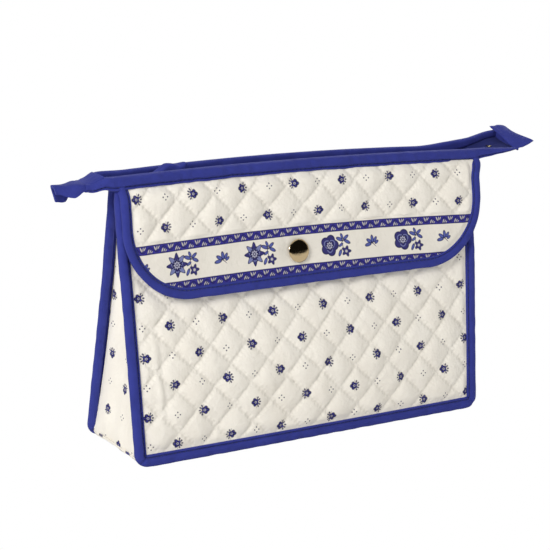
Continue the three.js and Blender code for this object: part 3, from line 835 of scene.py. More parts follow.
@dataclass(frozen=True)
class BiasBinding(Finish):
    """Cotton bias tape, folded and pressed: matt royal blue, its threads at 45 degrees to its edges."""

    thread: float = 0.9

    def build(self, tree: Nodes) -> None:
        """Makes the dye, the slanting threads and the puckers."""
        u, v = self.flat_cloth(tree)
        slanted = self.thread * math.sqrt(2)
        colour = self.mottle(tree, 0.09).over("#384097", "#2A317B")
        relief = (u + v).wave(slanted) * (u - v).wave(slanted) * 0.06 + self.mottle(tree, 0.22, 4.0)
        self.surface(tree, {"Base Color": colour, **MATT}, relief, depth_mm=0.7)


@dataclass(frozen=True)
class LiningCotton(Finish):
    """Plain cream cotton lawn: matt, with a fine weave and a soft crumple."""

    thread: float = 0.8

    def build(self, tree: Nodes) -> None:
        """Makes the ground and the weave."""
        u, v = self.flat_cloth(tree)
        crumple = self.mottle(tree, 0.12)
        relief = u.wave(self.thread) * v.wave(self.thread) * 0.05 + crumple
        colour = crumple.over("#E9E3D6", "#DCD4C4")
        self.surface(tree, {"Base Color": colour, "Roughness": 0.88}, relief, depth_mm=0.6)


@dataclass(frozen=True)
class ZipTape(Finish):
    """Woven polyester zip tape: matt blue with fine ribs along its length, its blue darkened with painted
    shade for where it lies deep in the mouth.
    """

    def build(self, tree: Nodes) -> None:
        """Makes the blue, darkened with painted shade, and the ribs."""
        u, v = self.flat_cloth(tree)
        # Painted shade: the tape is the bindings' blue, set darker here for the shade deep in the mouth
        colour = self.mottle(tree, 0.2).over("#2A3172", "#232961")
        look = {**MATT, "Base Color": colour, "Sheen Weight": 0.02, "Specular IOR Level": 0.2}
        self.surface(tree, look, v.wave(0.9) + u.wave(0.7) * 0.5, depth_mm=0.06)


@dataclass(frozen=True)
class Dyed(Finish):
    """An even colour with a faint unevenness: twisted thread, extruded nylon, or sprayed enamel."""

    colour: str
    patches: str
    roughness: float
    patches_per_mm: float = 0.4
    depth_mm: float = 0.04
    sheen: float = 0.0

    def build(self, tree: Nodes) -> None:
        """Makes the colour and its faint ripple."""
        uneven = self.mottle(tree, self.patches_per_mm)
        colour = uneven.over(self.colour, self.patches)
        look = {"Base Color": colour, "Roughness": self.roughness, "Sheen Weight": self.sheen}
        self.surface(tree, look, uneven, self.depth_mm)


@dataclass(frozen=True)
class PlatedMetal(Finish):
    """Stamped metal with a thin bright plate: a sharp gloss, hairline scuffs and tiny dents."""

    colour: str
    roughness: float

    def build(self, tree: Nodes) -> None:
        """Makes the plate, its scuffs and its dents."""
        rough = self.mottle(tree, 1.6, 6.0) * 0.06 + (self.roughness - 0.03)
        look = {"Base Color": srgb(self.colour), "Metallic": 1.0, "Roughness": rough}
        self.surface(tree, look, self.mottle(tree, 0.5, 2.0), depth_mm=0.05)


WALL_QUILTING = Quilting(44.5, 18.6, 8.2, 18.2, 16.5, seed=11)
FLAP_QUILTING = Quilting(45.2, 18.4, 14.3, 18.6, 13.0, seed=23)
QUILTINGS = {PrintStyle.WALL: WALL_QUILTING, PrintStyle.FLAP: FLAP_QUILTING}
WALL_PRINT = PrintedCotton("quilted_print", "printed_cotton_of_the_walls", PrintStyle.WALL)
FLAP_PRINT = PrintedCotton("quilted_print", "printed_cotton_of_the_flap", PrintStyle.FLAP)
GUSSET_PRINT = PrintedCotton("printed_cotton", "printed_cotton_of_the_gussets", PrintStyle.GUSSET)
BINDING = BiasBinding("bias_binding", "folded_cotton_bias_tape")
# The thread's navy is partly its own colour and partly painted shade, darkened for the shadowed stitch groove
# it lies in
THREAD = Dyed(
    "bias_binding", "twisted_cotton_thread_with_painted_groove_shade", "#20265F", "#2B3276",
    roughness=0.6, patches_per_mm=1.2, depth_mm=0.1, sheen=0.1,
)
LINING = LiningCotton("lining_cotton", "woven_cotton_lawn")
TAPE = ZipTape("zip_tape", "woven_polyester_tape_in_painted_shade")
COIL = Dyed("zip_coil", "extruded_nylon", "#31397F", "#2A3074", roughness=0.45)
ENAMEL = Dyed("zip_slider_enamel", "enamelled_zinc", "#3A4291", "#2A3074", roughness=0.32)
STOP_METAL = PlatedMetal("zip_stop_metal", "stamped_pale_brass", "#CDBF93", roughness=0.25)
GOLD = PlatedMetal("snap_cap_gold", "gold_plated_brass", "#B8A480", roughness=0.09)
NICKEL = PlatedMetal("snap_steel", "nickel_plated_steel", "#B8B4AA", roughness=0.22)


# How a piece joins the frame


@dataclass(frozen=True)
class Bend:
    """Where a piece would bend between two bodies, following the first before start and the second after end;
    settle does not apply it.
    """

    first: str
    second: str
    start: tuple[float, float, float]
    end: tuple[float, float, float]


def flap_bend() -> Bend:
    """The flap's top edge stays sewn under the mouth binding."""
    return Bend("pouch", "flap", (4.5, -11.3, 170.0), (4.5, -11.3, 163.5))


def mouth_bend(side: int) -> Bend:
    """The back stays sewn at its end and opens towards the middle."""
    return Bend("pouch", "back_wall", (side * 117.0, 0.0, 0.0), (side * 12.0, 0.0, 0.0))


def settle(
    piece: Piece,
    finish: Finish,
    motion: str | Bend,
    nodes: Sequence[str] = (),
) -> Piece:
    """Gives a finished piece its material, hides the frame's parts that it stands in for, and hangs it on its
    body or bakes it in place.

    Args:
        piece: The finished mesh.
        finish: Its finish.
        motion: The body it rides on, or how it would bend between two; a bend is not applied, and the piece
            is baked where it is.
        nodes: The frame's nodes that it replaces, which are hidden.

    Returns:
        The piece.
    """
    piece.data.materials.clear()
    piece.data.materials.append(finish.material())
    if nodes:
        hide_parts(*nodes)
    if isinstance(motion, Bend):
        start = tuple(c * MM for c in motion.start)
        end = tuple(c * MM for c in motion.end)
        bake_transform(piece)
    else:
        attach(piece, motion)
    LOG.info("%s: %d faces, %s", piece.name, len(piece.data.polygons), finish.name)
    return piece


# Rolled bindings and their stitches


@dataclass(frozen=True)
class Roll:
    """Cross-section of a folded binding: a thin stitched lip on one edge and a full roll on the other."""

    samples: int = 13
    stitch_at: float = 0.24
    groove: float = 0.52
    lip: float = 0.72
    squareness: float = 3.0

    def section(self) -> tuple[Array, Array]:
        """Points round the section.

        Returns:
            How far out from the inner edge each point is, from 0 to 1, and its side, -1 in front to 1 behind.
        """
        t = np.linspace(0, 1, self.samples)
        out = 0.5 - 0.5 * np.cos(math.pi * t)
        body = np.sqrt(np.maximum(0.0, 1 - np.abs(2 * out - 1) ** self.squareness))
        height = body * lerp(self.lip, 1.0, smooth(out / 0.5))
        height = height - self.groove * hill(out, self.stitch_at, 0.07)
        height[0] = height[-1] = 0.0
        return np.concatenate([out, out[-2:0:-1]]), np.concatenate([-height, height[-2:0:-1]])


@dataclass
class EdgeBinding:
    """A rolled binding along an edge that lies in a wall's plane, between a near and a far face.

    path has a row for each step: x and z of the inner edge, and the outward direction in x and z.
    """

    path: Array
    width: float
    near: Face
    far: Face
    seed: int
    roll: Roll = Roll()

    def at(self, reach: Array) -> tuple[Array, ...]:
        """x and z this far out from the inner edge, and the middle and half of the binding's depth there."""
        x = self.path[:, 0:1] + self.path[:, 2:3] * reach
        z = self.path[:, 1:2] + self.path[:, 3:4] * reach
        near, far = self.near(x, z), self.far(x, z)
        return x, z, (near + far) / 2, (far - near) / 2

    def cloth(self, name: str, creases: Sequence[float]) -> Piece:
        """Makes the binding, with a fold at each crease given by its distance along it."""
        out, side = self.roll.section()
        along = walked(self.path[:, :2] + self.path[:, 2:] * self.width / 2)[:, None]
        x, z, middle, half = self.at(out * self.width * (1 + 0.014 * ripple(along, out * 3, 14.0, self.seed)))
        slanted = ripple(along + out * 5.0, 0 * along + side * 2, 7.5, self.seed + 1)
        full = 1 + 0.1 * slanted * np.sin(math.pi * np.clip(out, 0, 1)) ** 0.5
        for crease in creases:
            full = full - 0.4 * hill(along, crease, 0.9)
        around = walked(stacked(out * self.width, side * 2.5))
        return loft_piece(name, (x, middle + half * side * full, z), (along, around))

    def sew(
        self, names: tuple[str, str], motion: str | Bend, node: str, creases: Sequence[float] = ()
    ) -> None:
        """Makes the binding and the row of stitches that holds its lip.

        Args:
            names: Names of the binding and of its stitches.
            motion: The body that both ride on, or how they bend.
            node: The frame's node that the binding replaces.
            creases: Distance along the binding of each fold.
        """
        settle(self.cloth(names[0], creases), BINDING, motion, [node])
        x, z, middle, half = self.at(np.array(self.width * self.roll.stitch_at))
        settle(stitch_row(names[1], stacked(x, middle - 0.46 * half, z)[:, 0]), THREAD, motion)


def stitch_row(name: str, line: Array, pitch: float = 3.1, length: float = 2.3) -> Piece:
    """Lays machine stitches along a line.

    Args:
        name: Name of the row.
        line: Points of the line in millimetres.
        pitch: From one stitch to the next.
        length: Length of the thread that shows in one stitch.

    Returns:
        One mesh with every stitch.
    """
    bpy.ops.mesh.primitive_uv_sphere_add(segments=6, ring_count=4, radius=0.5)
    corners, faces = taken((0.62, 0.62, length))
    steps = walked(line)
    moved = np.concatenate([[True], np.diff(steps) > 1e-6])
    line, steps = line[moved], steps[moved]

    def on_line(at: float) -> Array:
        """Point of the line at a distance along it."""
        return np.array([np.interp(at, steps, line[:, k]) for k in range(3)])

    placed = []
    for at in np.arange(pitch / 2, steps[-1] - pitch / 2, pitch):
        turn = Vector(on_line(at + 0.5) - on_line(at)).to_track_quat("Z", "Y").to_matrix()
        placed.append(corners @ np.array(turn).T + on_line(at))
    return copies(name, placed, faces)


def seam_path(
    edge: Callable[[int, Array], Array], sides: Sequence[int]
) -> tuple[Array, list[float]]:
    """Inner edge of a seam binding, down one side, along the base and up the other.

    Args:
        edge: The wall's outline by side and height.
        sides: -1 and 1 for the whole way round, or one of them for that side and its half of the base.

    Returns:
        Rows of x, z and the outward direction, and the distance along it of each corner.
    """
    width, corner = BAG.seam_width, 0.8
    low = width + corner
    z = np.linspace(BAG.wall_top(BAG.half_width) + 3.0, low, 125)
    turn = np.linspace(0, math.pi / 2, 15)[1:]
    halves = []
    for side in sides:
        leg = stacked(edge(side, z) - side * width, z, side, 0.0)
        nx, nz = side * np.cos(turn), -np.sin(turn)
        centre = float(edge(side, low)) - side * low
        bend = stacked(centre + nx * corner, low + nz * corner, nx, nz)
        base = stacked(np.linspace(centre, 0.0, 100)[1:], width, 0.0, -1.0)
        halves.append(np.concatenate([leg, bend, base]))
    path = halves[0] if len(halves) == 1 else np.concatenate([halves[0], halves[1][-2::-1]])
    along = walked(path[:, :2] + path[:, 2:] * width / 2)
    slanted = np.abs(np.abs(path[:, 2]) - math.sqrt(0.5)) < 0.06
    return path, [float(a) for a in along[slanted]][:: max(1, int(slanted.sum() / len(sides)))]


# The walls, the gussets and the flap


@dataclass
class FrontWall:
    """The front pocket, the wall behind it, its lining, and the binding round both."""

    step: float = 1.25
    inset: float = 6.4
    pocket_height: float = 149.0
    pocket_binding: float = 7.0
    lining_depth: float = 5.7

    def build(self) -> None:
        """Makes every piece of the front."""
        self.pocket()
        self.wall()
        self.seam()

    def panel(self, top: Callable[[Array], Array], step: float) -> tuple[Array, Array]:
        """Grid of x and z over the front inside its binding, up to a height."""
        columns = int((2 * BAG.half_width - 2 * self.inset) / step)
        s, w = grid(columns, int((self.pocket_height - self.inset) / step))
        z = lerp(self.inset, top(lerp(-BAG.half_width, BAG.half_width, s)), w)
        return lerp(BAG.front_edge(-1, z) + self.inset, BAG.front_edge(1, z) - self.inset, s), z

    def pocket(self) -> None:
        """Makes the quilted pocket, with a soft fold down its left side, and the binding of its opening."""
        x, z = self.panel(lambda at: self.pocket_height + 0 * at, self.step)
        u, v = x, BAG.up_front(z)
        width = BAG.seam_width
        left, right = BAG.front_edge(-1, z) + width, BAG.front_edge(1, z) - width
        edge = smooth(to_edge(x, z, (left, right), (width, math.inf)) / BAG.flattened)
        lean = x + 0.05 * (v - 45)
        fold = 0.9 * hill(lean, -111, 2.0) * ease(v, 14, 40) * ease(v, 84, 54)
        crease = 0.55 * hill(lean, -107.5, 1.6) * ease(v, 20, 46) * ease(v, 92, 62)
        puffs = WALL_QUILTING.height(u, v) + 0.35 * ripple(u, v, 60.0, 5)
        out = puffs * edge - BAG.sunk + fold - crease
        y = BAG.front(x, z)
        piece = sheet_piece("pocket_panel_cloth", (x, y - out, z), (x, y + BAG.quilt, z), (u, v))
        settle(piece, WALL_PRINT, "pouch", ["pocket_panel"])
        path = stacked(np.linspace(-121.5, 125.5, 200), self.pocket_height - 0.2, 0.0, 1.0)
        near, far = beside(BAG.front, -0.6), beside(BAG.front, 2.6)
        binding = EdgeBinding(path, self.pocket_binding, near, far, seed=31)
        binding.sew(("pocket_top_binding_cloth", "pocket_top_stitches"), "pouch", "pocket_top_binding")

    def wall(self) -> None:
        """Makes the quilted wall behind the pocket, and the lining behind that."""
        x, z = self.panel(lambda at: BAG.wall_top(at) + 1.5, 2.0)
        u, v = x, BAG.up_front(z)
        edge = ease(z, 150, 154) * smooth(to_edge(x, z, (-123, 126)) / 4)
        y = BAG.front(x, z) + BAG.wall_depth - BAG.wall_step(z) + 0.4
        puffed = y - 0.5 * WALL_QUILTING.height(u, v) * edge
        piece = sheet_piece("front_panel_cloth", (x, puffed, z), (x, y + BAG.quilt - 0.5, z), (u, v))
        settle(piece, WALL_PRINT, "pouch", ["front_panel"])
        x, z = self.panel(lambda at: BAG.wall_top(at) + 1.0, 5.0)
        x = x * 0.97
        z = BAG.above_base(x, z)
        crumple = 0.25 * ripple(x, z, 38.0, 7) * ease(z, 166, 154)
        y = BAG.front(x, z) + self.lining_depth - BAG.wall_step(z) + crumple
        lining = sheet_piece("front_lining_cloth", (x, y, z), (x, y + BAG.lining, z), (x, z))
        settle(lining, LINING, "pouch", ["front_lining"])

    def seam(self) -> None:
        """Makes the binding round the front's sides and bottom."""
        path, creases = seam_path(BAG.front_edge, (-1, 1))

        def far(x: Array, z: Array) -> Array:
            """Back of the fin, drawn in under the mouth binding."""
            return BAG.front(x, z) + BAG.seam_back + 1.4 * ease(z, 100, 125) - 2.6 * ease(z, 160, 166)

        near = beside(BAG.front, -BAG.seam_proud - BAG.slack)
        binding = EdgeBinding(path, BAG.seam_width, near, far, seed=41)
        names = ("front_seam_binding_cloth", "front_seam_stitches")
        binding.sew(names, "pouch", "front_seam_binding", creases)


@dataclass
class BackWall:
    """The quilted back with its lining and binding, in two halves that meet in the middle."""

    step: float = 1.5
    inset: float = 6.4
    height: float = 165.0

    def build(self) -> None:
        """Makes both halves."""
        for side, word in SIDES:
            self.panel(side, word)
            self.seam(side, word)

    def panel(self, side: int, word: str) -> None:
        """Makes one half of the quilted panel and of its lining."""
        s, w = grid(int(BAG.half_width / self.step), int(self.height / self.step))
        z = lerp(self.inset, BAG.wall_top(side * s * BAG.half_width) + 1.2, w)
        x = s * (BAG.back_edge(side, z) - side * self.inset)
        u, v = -x, BAG.up_front(z)
        width = BAG.seam_width
        across = (-math.inf, np.abs(BAG.back_edge(side, z)) - width)
        edge = smooth(to_edge(np.abs(x), z, across, (width, 168.5)) / BAG.flattened)
        out = WALL_QUILTING.height(u, v) * edge - BAG.sunk + 0.3 * ripple(u, v, 60.0, 15)
        y = BAG.back(x, z)
        piece = sheet_piece("back_panel_" + word, (x, y + out, z), (x, y - BAG.quilt, z), (u, v))
        settle(piece, WALL_PRINT, mouth_bend(side), ["back_panel"])
        coarse = np.s_[::3, ::3]
        x, deep = x[coarse], y[coarse] - BAG.quilt - 0.4
        z = BAG.above_base(x, z[coarse])
        lining = sheet_piece("back_lining_" + word, (x, deep, z), (x, deep - BAG.lining, z), (x, z))
        settle(lining, LINING, mouth_bend(side), ["back_lining"])

    def seam(self, side: int, word: str) -> None:
        """Makes one half of the binding round the back's sides and bottom."""
        path, creases = seam_path(BAG.back_edge, (side,))
        near, far = beside(BAG.back, BAG.seam_proud + BAG.slack), beside(BAG.back, -BAG.seam_back)
        binding = EdgeBinding(path, BAG.seam_width, near, far, seed=51 + side)
        names = ("back_seam_binding_" + word, "back_seam_stitches_" + word)
        binding.sew(names, mouth_bend(side), "back_seam_binding", creases)


@dataclass
class Gussets:
    """The cloth that closes both ends and runs on under the bag as its base, and its lining."""

    recess: float = 7.3
    bulge: float = 4.6
    bulge_height: float = 30.0
    top: float = 163.0
    widest: float = 64.0
    highest: float = 160.0
    seam: float = 3.9
    fold: float = 7.0
    tuck: float = 5.0
    tuck_height: float = 6.5
    thickness: float = 1.4

    def build(self) -> None:
        """Makes both gussets and the base."""
        for side, word in SIDES:
            self.end(side, word)
        self.base()

    def sheet(
        self, side: int, low: float, trim: float, set_in: float, step: float
    ) -> tuple[Array, ...]:
        """Grid over one gusset.

        Args:
            side: -1 for the left end and 1 for the right one.
            low: Height where it starts.
            trim: How much narrower it is cut, front and back.
            set_in: How far inside the gusset's outer face it lies.
            step: Distance between the grid's lines.

        Returns:
            x, y and z.
        """
        s, w = grid(int(self.widest / step), int(self.highest / step))
        z = lerp(low, self.top, w)
        front_edge, back_edge = BAG.front_edge(side, z), BAG.back_edge(side, z)
        inside = self.seam + trim
        y = lerp(BAG.front(front_edge, z) + inside, BAG.back(back_edge, z) - inside, s)
        middle = (0.5 + 0.5 * np.cos(math.pi * (2 * s - 1))) ** 0.8
        fold = lerp(1.0, self.fold, (z / self.top) ** 1.5) * middle
        across = lerp(np.abs(front_edge), np.abs(back_edge), s)
        outer = across - self.recess + self.bulge * np.exp(-z / self.bulge_height)
        tuck = self.tuck * (1 - np.sqrt(1 - (1 - np.clip(z / self.tuck_height, 0, 1)) ** 2))
        wrinkle = 0.5 * ripple(y * 1.3, z, 33.0, 61 + side) * np.sin(math.pi * s)
        return side * (outer - fold - tuck - set_in + wrinkle), y, z

    def end(self, side: int, word: str) -> None:
        """Makes one gusset and its lining."""
        x, y, z = self.sheet(side, low=0.7, trim=0.0, set_in=0.0, step=1.6)
        name = word + "_gusset"
        piece = sheet_piece(name + "_cloth", (x, y, z), (x - side * self.thickness, y, z), (side * y, z))
        settle(piece, GUSSET_PRINT, "pouch", [name])
        x, y, z = self.sheet(side, low=6.0, trim=1.5, set_in=2.2, step=5.0)
        lining = sheet_piece(name + "_lining_cloth", (x, y, z), (x - side * BAG.lining, y, z), (y, z))
        settle(lining, LINING, "pouch", [name + "_lining"])

    def base(self) -> None:
        """Makes the base and its lining."""
        s, w = grid(150, 42)
        x = lerp(-BAG.base_end, BAG.base_end, s) * 0.985
        y = lerp(BAG.front(x, 5.0) + 4.0, BAG.back(x, 5.0) - 4.0, w)
        z = BAG.base_rise(x) + 0.25 * (1 + ripple(x, y, 45.0, 71)) * np.sin(math.pi * w)
        piece = sheet_piece("base_panel_cloth", (x, y, z), (x, y, z + self.thickness), (y, x))
        settle(piece, GUSSET_PRINT, "pouch", ["base_panel"])
        coarse = np.s_[4:-4:4, ::4]
        x, y, z = x[coarse], y[coarse], z[coarse] + 2.0
        lining = sheet_piece("base_lining_cloth", (x, y, z), (x, y, z + BAG.lining), (x, y))
        settle(lining, LINING, "pouch", ["base_lining"])


@dataclass
class Flap:
    """The rounded flap: quilted above its printed border, lined, and bound round its free edge."""

    left: float = -130.0
    right: float = 139.0
    bottom: float = 99.0
    corner: float = 45.0
    binding: float = 7.0
    step: float = 1.2
    depth: float = 66.0
    border_top: float = 136.8
    border_bottom: float = 106.0
    flare_right: float = 2.0

    def offset(self, z: Array) -> Array:
        """How far the flap's outer face stands off the front's."""
        tucked = 1.6 * smooth((z - 164.0) / 5.0)
        return lerp(BAG.flap_offset, 3.5, smooth((z - BAG.step_start) / BAG.step_height)) - tucked

    def face(self, x: Array, z: Array) -> Array:
        """Depth of the flap's outer face before it is quilted."""
        return BAG.front(x, z) - self.offset(z)

    def flare(self, side: int, z: Array) -> Array:
        """How far the right edge runs outwards as it goes up under the mouth binding."""
        return (side > 0) * self.flare_right * smooth((z - 154.0) / 12.0)

    def corner_centre(self, side: int) -> float:
        """x of the middle of a rounded corner."""
        return self.left + self.corner if side < 0 else self.right - self.corner

    def outline(self, inset: float) -> Array:
        """The flap's free edge moved in: rows of x, z and the outward direction."""
        radius = self.corner - inset
        centre_z = self.bottom + self.corner
        high = np.linspace(BAG.wall_top(self.left) + 3.5, centre_z, 22)
        turn = np.linspace(0, math.pi / 2, 62)[1:]
        rows = []
        for side, _ in SIDES:
            centre_x = self.corner_centre(side)
            leg = stacked(centre_x + side * radius + self.flare(side, high), high, side, 0.0)
            nx, nz = side * np.cos(turn), -np.sin(turn)
            bend = stacked(centre_x + nx * radius, centre_z + nz * radius, nx, nz)
            rows.append(np.concatenate([leg, bend]))
        x = np.linspace(self.corner_centre(-1), self.corner_centre(1), 150)[1:-1]
        return np.concatenate([rows[0], stacked(x, self.bottom + inset, 0.0, -1.0), rows[1][::-1]])

    def panel_grid(self, step: float, inset: float = 5.8) -> tuple[Array, Array]:
        """Grid of x and z inside the binding."""
        width = self.right - self.left - 2 * inset
        s, w = grid(int(width / step), int(self.depth / step))
        even = 0.7 * s + 0.3 * (0.5 - 0.5 * np.cos(math.pi * s))
        x = lerp(self.left + inset, self.right - inset, even)
        radius = self.corner - inset
        past = np.clip(np.maximum(self.corner_centre(-1) - x, x - self.corner_centre(1)), 0.0, radius)
        low = self.bottom + self.corner - np.sqrt(np.maximum(0.0, radius**2 - past**2))
        z = lerp(low, BAG.wall_top(x) + 1.6, w)
        return x + self.flare(1, z) * ease(s, 0.8, 1.0), z

    def inside(self, x: Array, z: Array) -> Array:
        """Distance in from the binding's inner edge, also round the corners."""
        width = self.binding
        gap = to_edge(x, z, (self.left + width, self.right - width), (self.bottom + width, math.inf))
        for side, _ in SIDES:
            past = x - self.corner_centre(side)
            from_centre = np.hypot(past, z - self.bottom - self.corner)
            cornered = (side * past > 0) & (z < self.bottom + self.corner)
            gap = np.where(cornered, np.minimum(gap, self.corner - width - from_centre), gap)
        return gap

    def build(self) -> None:
        """Makes the panel, the lining and the binding."""
        x, z = self.panel_grid(self.step)
        u, v = x, BAG.up_front(z + BAG.body_height - BAG.mouth_top(x))
        seam = hill(v, self.border_top + 0.8, 0.8) + hill(v, self.border_bottom, 0.8)
        plain = 0.9 + 0.22 * ripple(u, v, 26.0, 81) - 0.7 * seam
        tack = 0.9 * hill(np.hypot(u - BAG.stud_x, z - BAG.stud_height), 0.0, 13.0)
        gather = 0.3 * hill(u, -15, 1.5) * ease(v, 112, 117) * ease(v, 136, 131)
        quilted = ease(v, self.border_top + 0.3, self.border_top + 2.5)
        puffs = lerp(plain - tack - gather, FLAP_QUILTING.height(u, v), quilted)
        out = puffs * smooth(self.inside(x, z) / 4.0) - 0.9
        out = out * smooth((BAG.wall_top(x) + 1.5 - z) / 3.0) + 0.25 * ripple(u, v, 70.0, 83)
        y = self.face(x, z)
        panel = sheet_piece("flap_panel_cloth", (x, y - out, z), (x, y + 2.2, z), (u, v))
        settle(panel, FLAP_PRINT, flap_bend(), ["flap_panel"])
        x, z = self.panel_grid(2 * self.step)
        y = self.face(x, z) + 2.5
        lining = sheet_piece("flap_lining_cloth", (x, y, z), (x, y + 0.5, z), (x, z))
        settle(lining, LINING, flap_bend(), ["flap_lining"])
        near, far = beside(self.face, -1.0), beside(self.face, 3.6)
        binding = EdgeBinding(self.outline(self.binding), self.binding, near, far, seed=91)
        binding.sew(("flap_binding_cloth", "flap_stitches"), flap_bend(), "flap_binding")


# The mouth and its zip


@dataclass
class Mouth:
    """The mouth's bindings, the fabric tails that they run on into, and the tabs that end them."""

    left_start: float = -133.0
    left_end: float = -149.5
    left_tab_end: float = -168.0
    right_start: float = 139.5
    right_end: float = 170.2
    rise: float = 8.2
    spread: float = 7.0
    back_end: float = 126.0
    lap: float = 11.5
    right_tab_rise: float = 6.1
    right_tab_overhang: float = 4.5
    right_tab_slope: float = 0.21
    right_tab_width: float = 10.5
    right_tab_set_back: float = 3.0

    def tail(self, side: int, x: Array) -> Array:
        """0 at the bag's end on one side and 1 where that side's tab starts."""
        start, end = (self.left_start, self.left_end) if side < 0 else (self.right_start, self.right_end)
        return np.clip((x - start) / (end - start), 0, 1)

    def narrowing(self, x: Array) -> Array:
        """How far the low edges rise along the left tail, where the bindings are folded narrower."""
        return 3.0 * np.clip((-x - 133.5) / 14.5, 0, 1)

    def edges(self, outward: int, x: Array) -> tuple[Array, Array]:
        """Heights of a mouth binding's top and low edges, along the walls and out along the tails."""
        along = BAG.mouth_top(np.clip(x, self.left_start, self.right_start)) - 3.3 * ease(x, -136, -147)
        low = along - BAG.top_height + self.narrowing(x)
        if outward < 0:
            top = along - 0.5 * smooth(self.tail(1, x))
            return top, low + 7.0 * np.clip((x - 136.0) / 34.0, 0, 1)
        dips = 0.9 * hill(x, -132.0, 9.0) - 2.1 * hill(x, 147.0, 15.0)
        return along + self.rise * ease(x, 102, 162) + dips, low + (self.rise + 1.4) * ease(x, 116, 170)

    def inner(self, outward: int, x: Array, z: Array) -> Array:
        """Inner face of the front (-1) or back (1) binding."""
        wall = BAG.front(x, z) + BAG.top_back if outward < 0 else BAG.back(x, z) - BAG.top_back
        face = lerp(wall, BAG.zip_centre + outward * 4.1, smooth(self.tail(-1, x)))
        return face + outward * self.parted(outward, x)

    def parted(self, outward: int, x: Array) -> Array:
        """How far the right tail's strips stand apart."""
        return (self.spread if outward < 0 else self.spread / 2) * smooth(self.tail(1, x))

    def depth(self, outward: int, x: Array) -> Array:
        """Thickness of a binding, which thins out along the tails."""
        thin = lerp(1.0, 0.7, np.maximum(self.tail(-1, x), self.tail(1, x)))
        return (BAG.top_thickness + (1.4 if outward < 0 else 0.0)) * thin

    def strip(self, name: str, start: float, end: float, outward: int) -> Piece:
        """Makes a mouth binding.

        Args:
            name: Name of the piece.
            start: x where it starts.
            end: x where it ends.
            outward: -1 for the front binding and 1 for the back one.

        Returns:
            The binding.
        """
        x = np.linspace(start, end, int(abs(end - start) / 1.5) + 2)[:, None]
        high, side = Roll(samples=16, lip=0.95, squareness=6.0).section()
        top, low = self.edges(outward, x)
        z = lerp(low, top, high) - 0.35 * (1 - high) * (1 + 0.5 * ripple(x, 0 * x, 18.0, 101 + outward))
        full = 1 + 0.09 * ripple(x + high * 5, high * 3 + 0 * x, 9.0, 103 + outward)
        half = outward * self.depth(outward, x) / 2
        y = self.inner(outward, x, z) + half - half * side * full * 1.08
        return loft_piece(name, (x, y, z), (x, walked(stacked(high * 8, side * 2.5))))

    def stitches(self, name: str, start: float, end: float, outward: int) -> Piece:
        """Makes the row of stitches along a mouth binding.

        Args:
            name: Name of the row.
            start: x where it starts.
            end: x where it ends.
            outward: -1 for the front binding and 1 for the back one.

        Returns:
            The stitches.
        """
        x = np.linspace(start, end, 120)
        top, low = self.edges(outward, x)
        z = lerp(low, top, 0.24)
        y = self.inner(outward, x, z) + outward * self.depth(outward, x) * 0.84
        return stitch_row(name, stacked(x, y, z))

    def build(self) -> None:
        """Makes the bindings, tails and tabs."""
        front = self.strip("front_top_binding_cloth", self.left_end, self.right_end, -1)
        settle(front, BINDING, "pouch", ["front_top_binding"])
        settle(self.stitches("front_top_stitches", self.left_end, self.right_end, -1), THREAD, "pouch")
        for side, word in SIDES:
            run = (0.0, side * self.back_end, 1)
            back = self.strip("back_top_binding_" + word, *run)
            settle(back, BINDING, mouth_bend(side), ["back_top_binding"])
            settle(self.stitches("back_top_stitches_" + word, *run), THREAD, mouth_bend(side))
            end = self.left_end if side < 0 else self.right_end
            tail = self.strip(word + "_tail_cloth", side * self.back_end, end, 1)
            settle(tail, BINDING, "pouch", [word + "_tail_binding"])
        self.left_tab()
        self.right_tab()

    def left_tab(self) -> None:
        """Makes the left tail's end: a strip that lies across both bindings, then bends down, open below."""
        x = np.linspace(self.left_end + self.lap, self.left_tab_end, 48)[:, None]
        t = np.clip((x - self.left_end) / (self.left_tab_end - self.left_end), 0, 1)
        across = smooth((x - self.left_end) / 4.0)
        top = self.edges(1, np.maximum(x, self.left_end))[0] + 0.45 * across - 0.6 * t + 0.25 * np.sin(t * 8)
        front_drop = lerp(4.3 + 3.7 * smooth(t / 0.35) - 2.6 * ease(t, 0.3, 0.9), 2.8, across)
        back_drop = lerp(5.0 + 6.5 * smooth(t / 0.45) - 0.7 * ease(t, 0.5, 1.0), 2.8, across)
        half = lerp(lerp(7.7, 3.4, smooth(t * 1.1)) + 0.2 * np.sin(t * 11), 8.4, across)
        turn = np.linspace(math.pi, 0, 13)[None, :]
        ahead, up = np.cos(turn), np.sin(turn)
        off_middle = np.sign(ahead) * (np.abs(ahead) > 0.05)
        rings = []
        for skin in (0.0 * across, lerp(1.7, 1.0, across)):
            wide = half - skin
            bend = np.minimum(wide, lerp(2.6, 1.3, across))
            over_y = off_middle * (wide - bend) + bend * ahead
            over_z = top - skin - bend * (1 - up)
            y = np.concatenate([-wide, over_y, wide], 1)
            rings.append(stacked(y, np.concatenate([top - front_drop, over_z, top - back_drop], 1)))
        section = np.concatenate([rings[0], rings[1][:, ::-1]], 1)
        y, z = section[..., 0], section[..., 1]
        uneven = 0.25 * ripple(x + y, z, 9.0, 111)
        slant = 0.3 * t**3 * (top - z)
        flat = (x, np.arange(section.shape[1], dtype=float))
        piece = loft_piece("left_end_tab_cloth", (x + slant, BAG.zip_centre + y + uneven, z), flat)
        settle(piece, BINDING, "pouch", ["left_end_tab"])

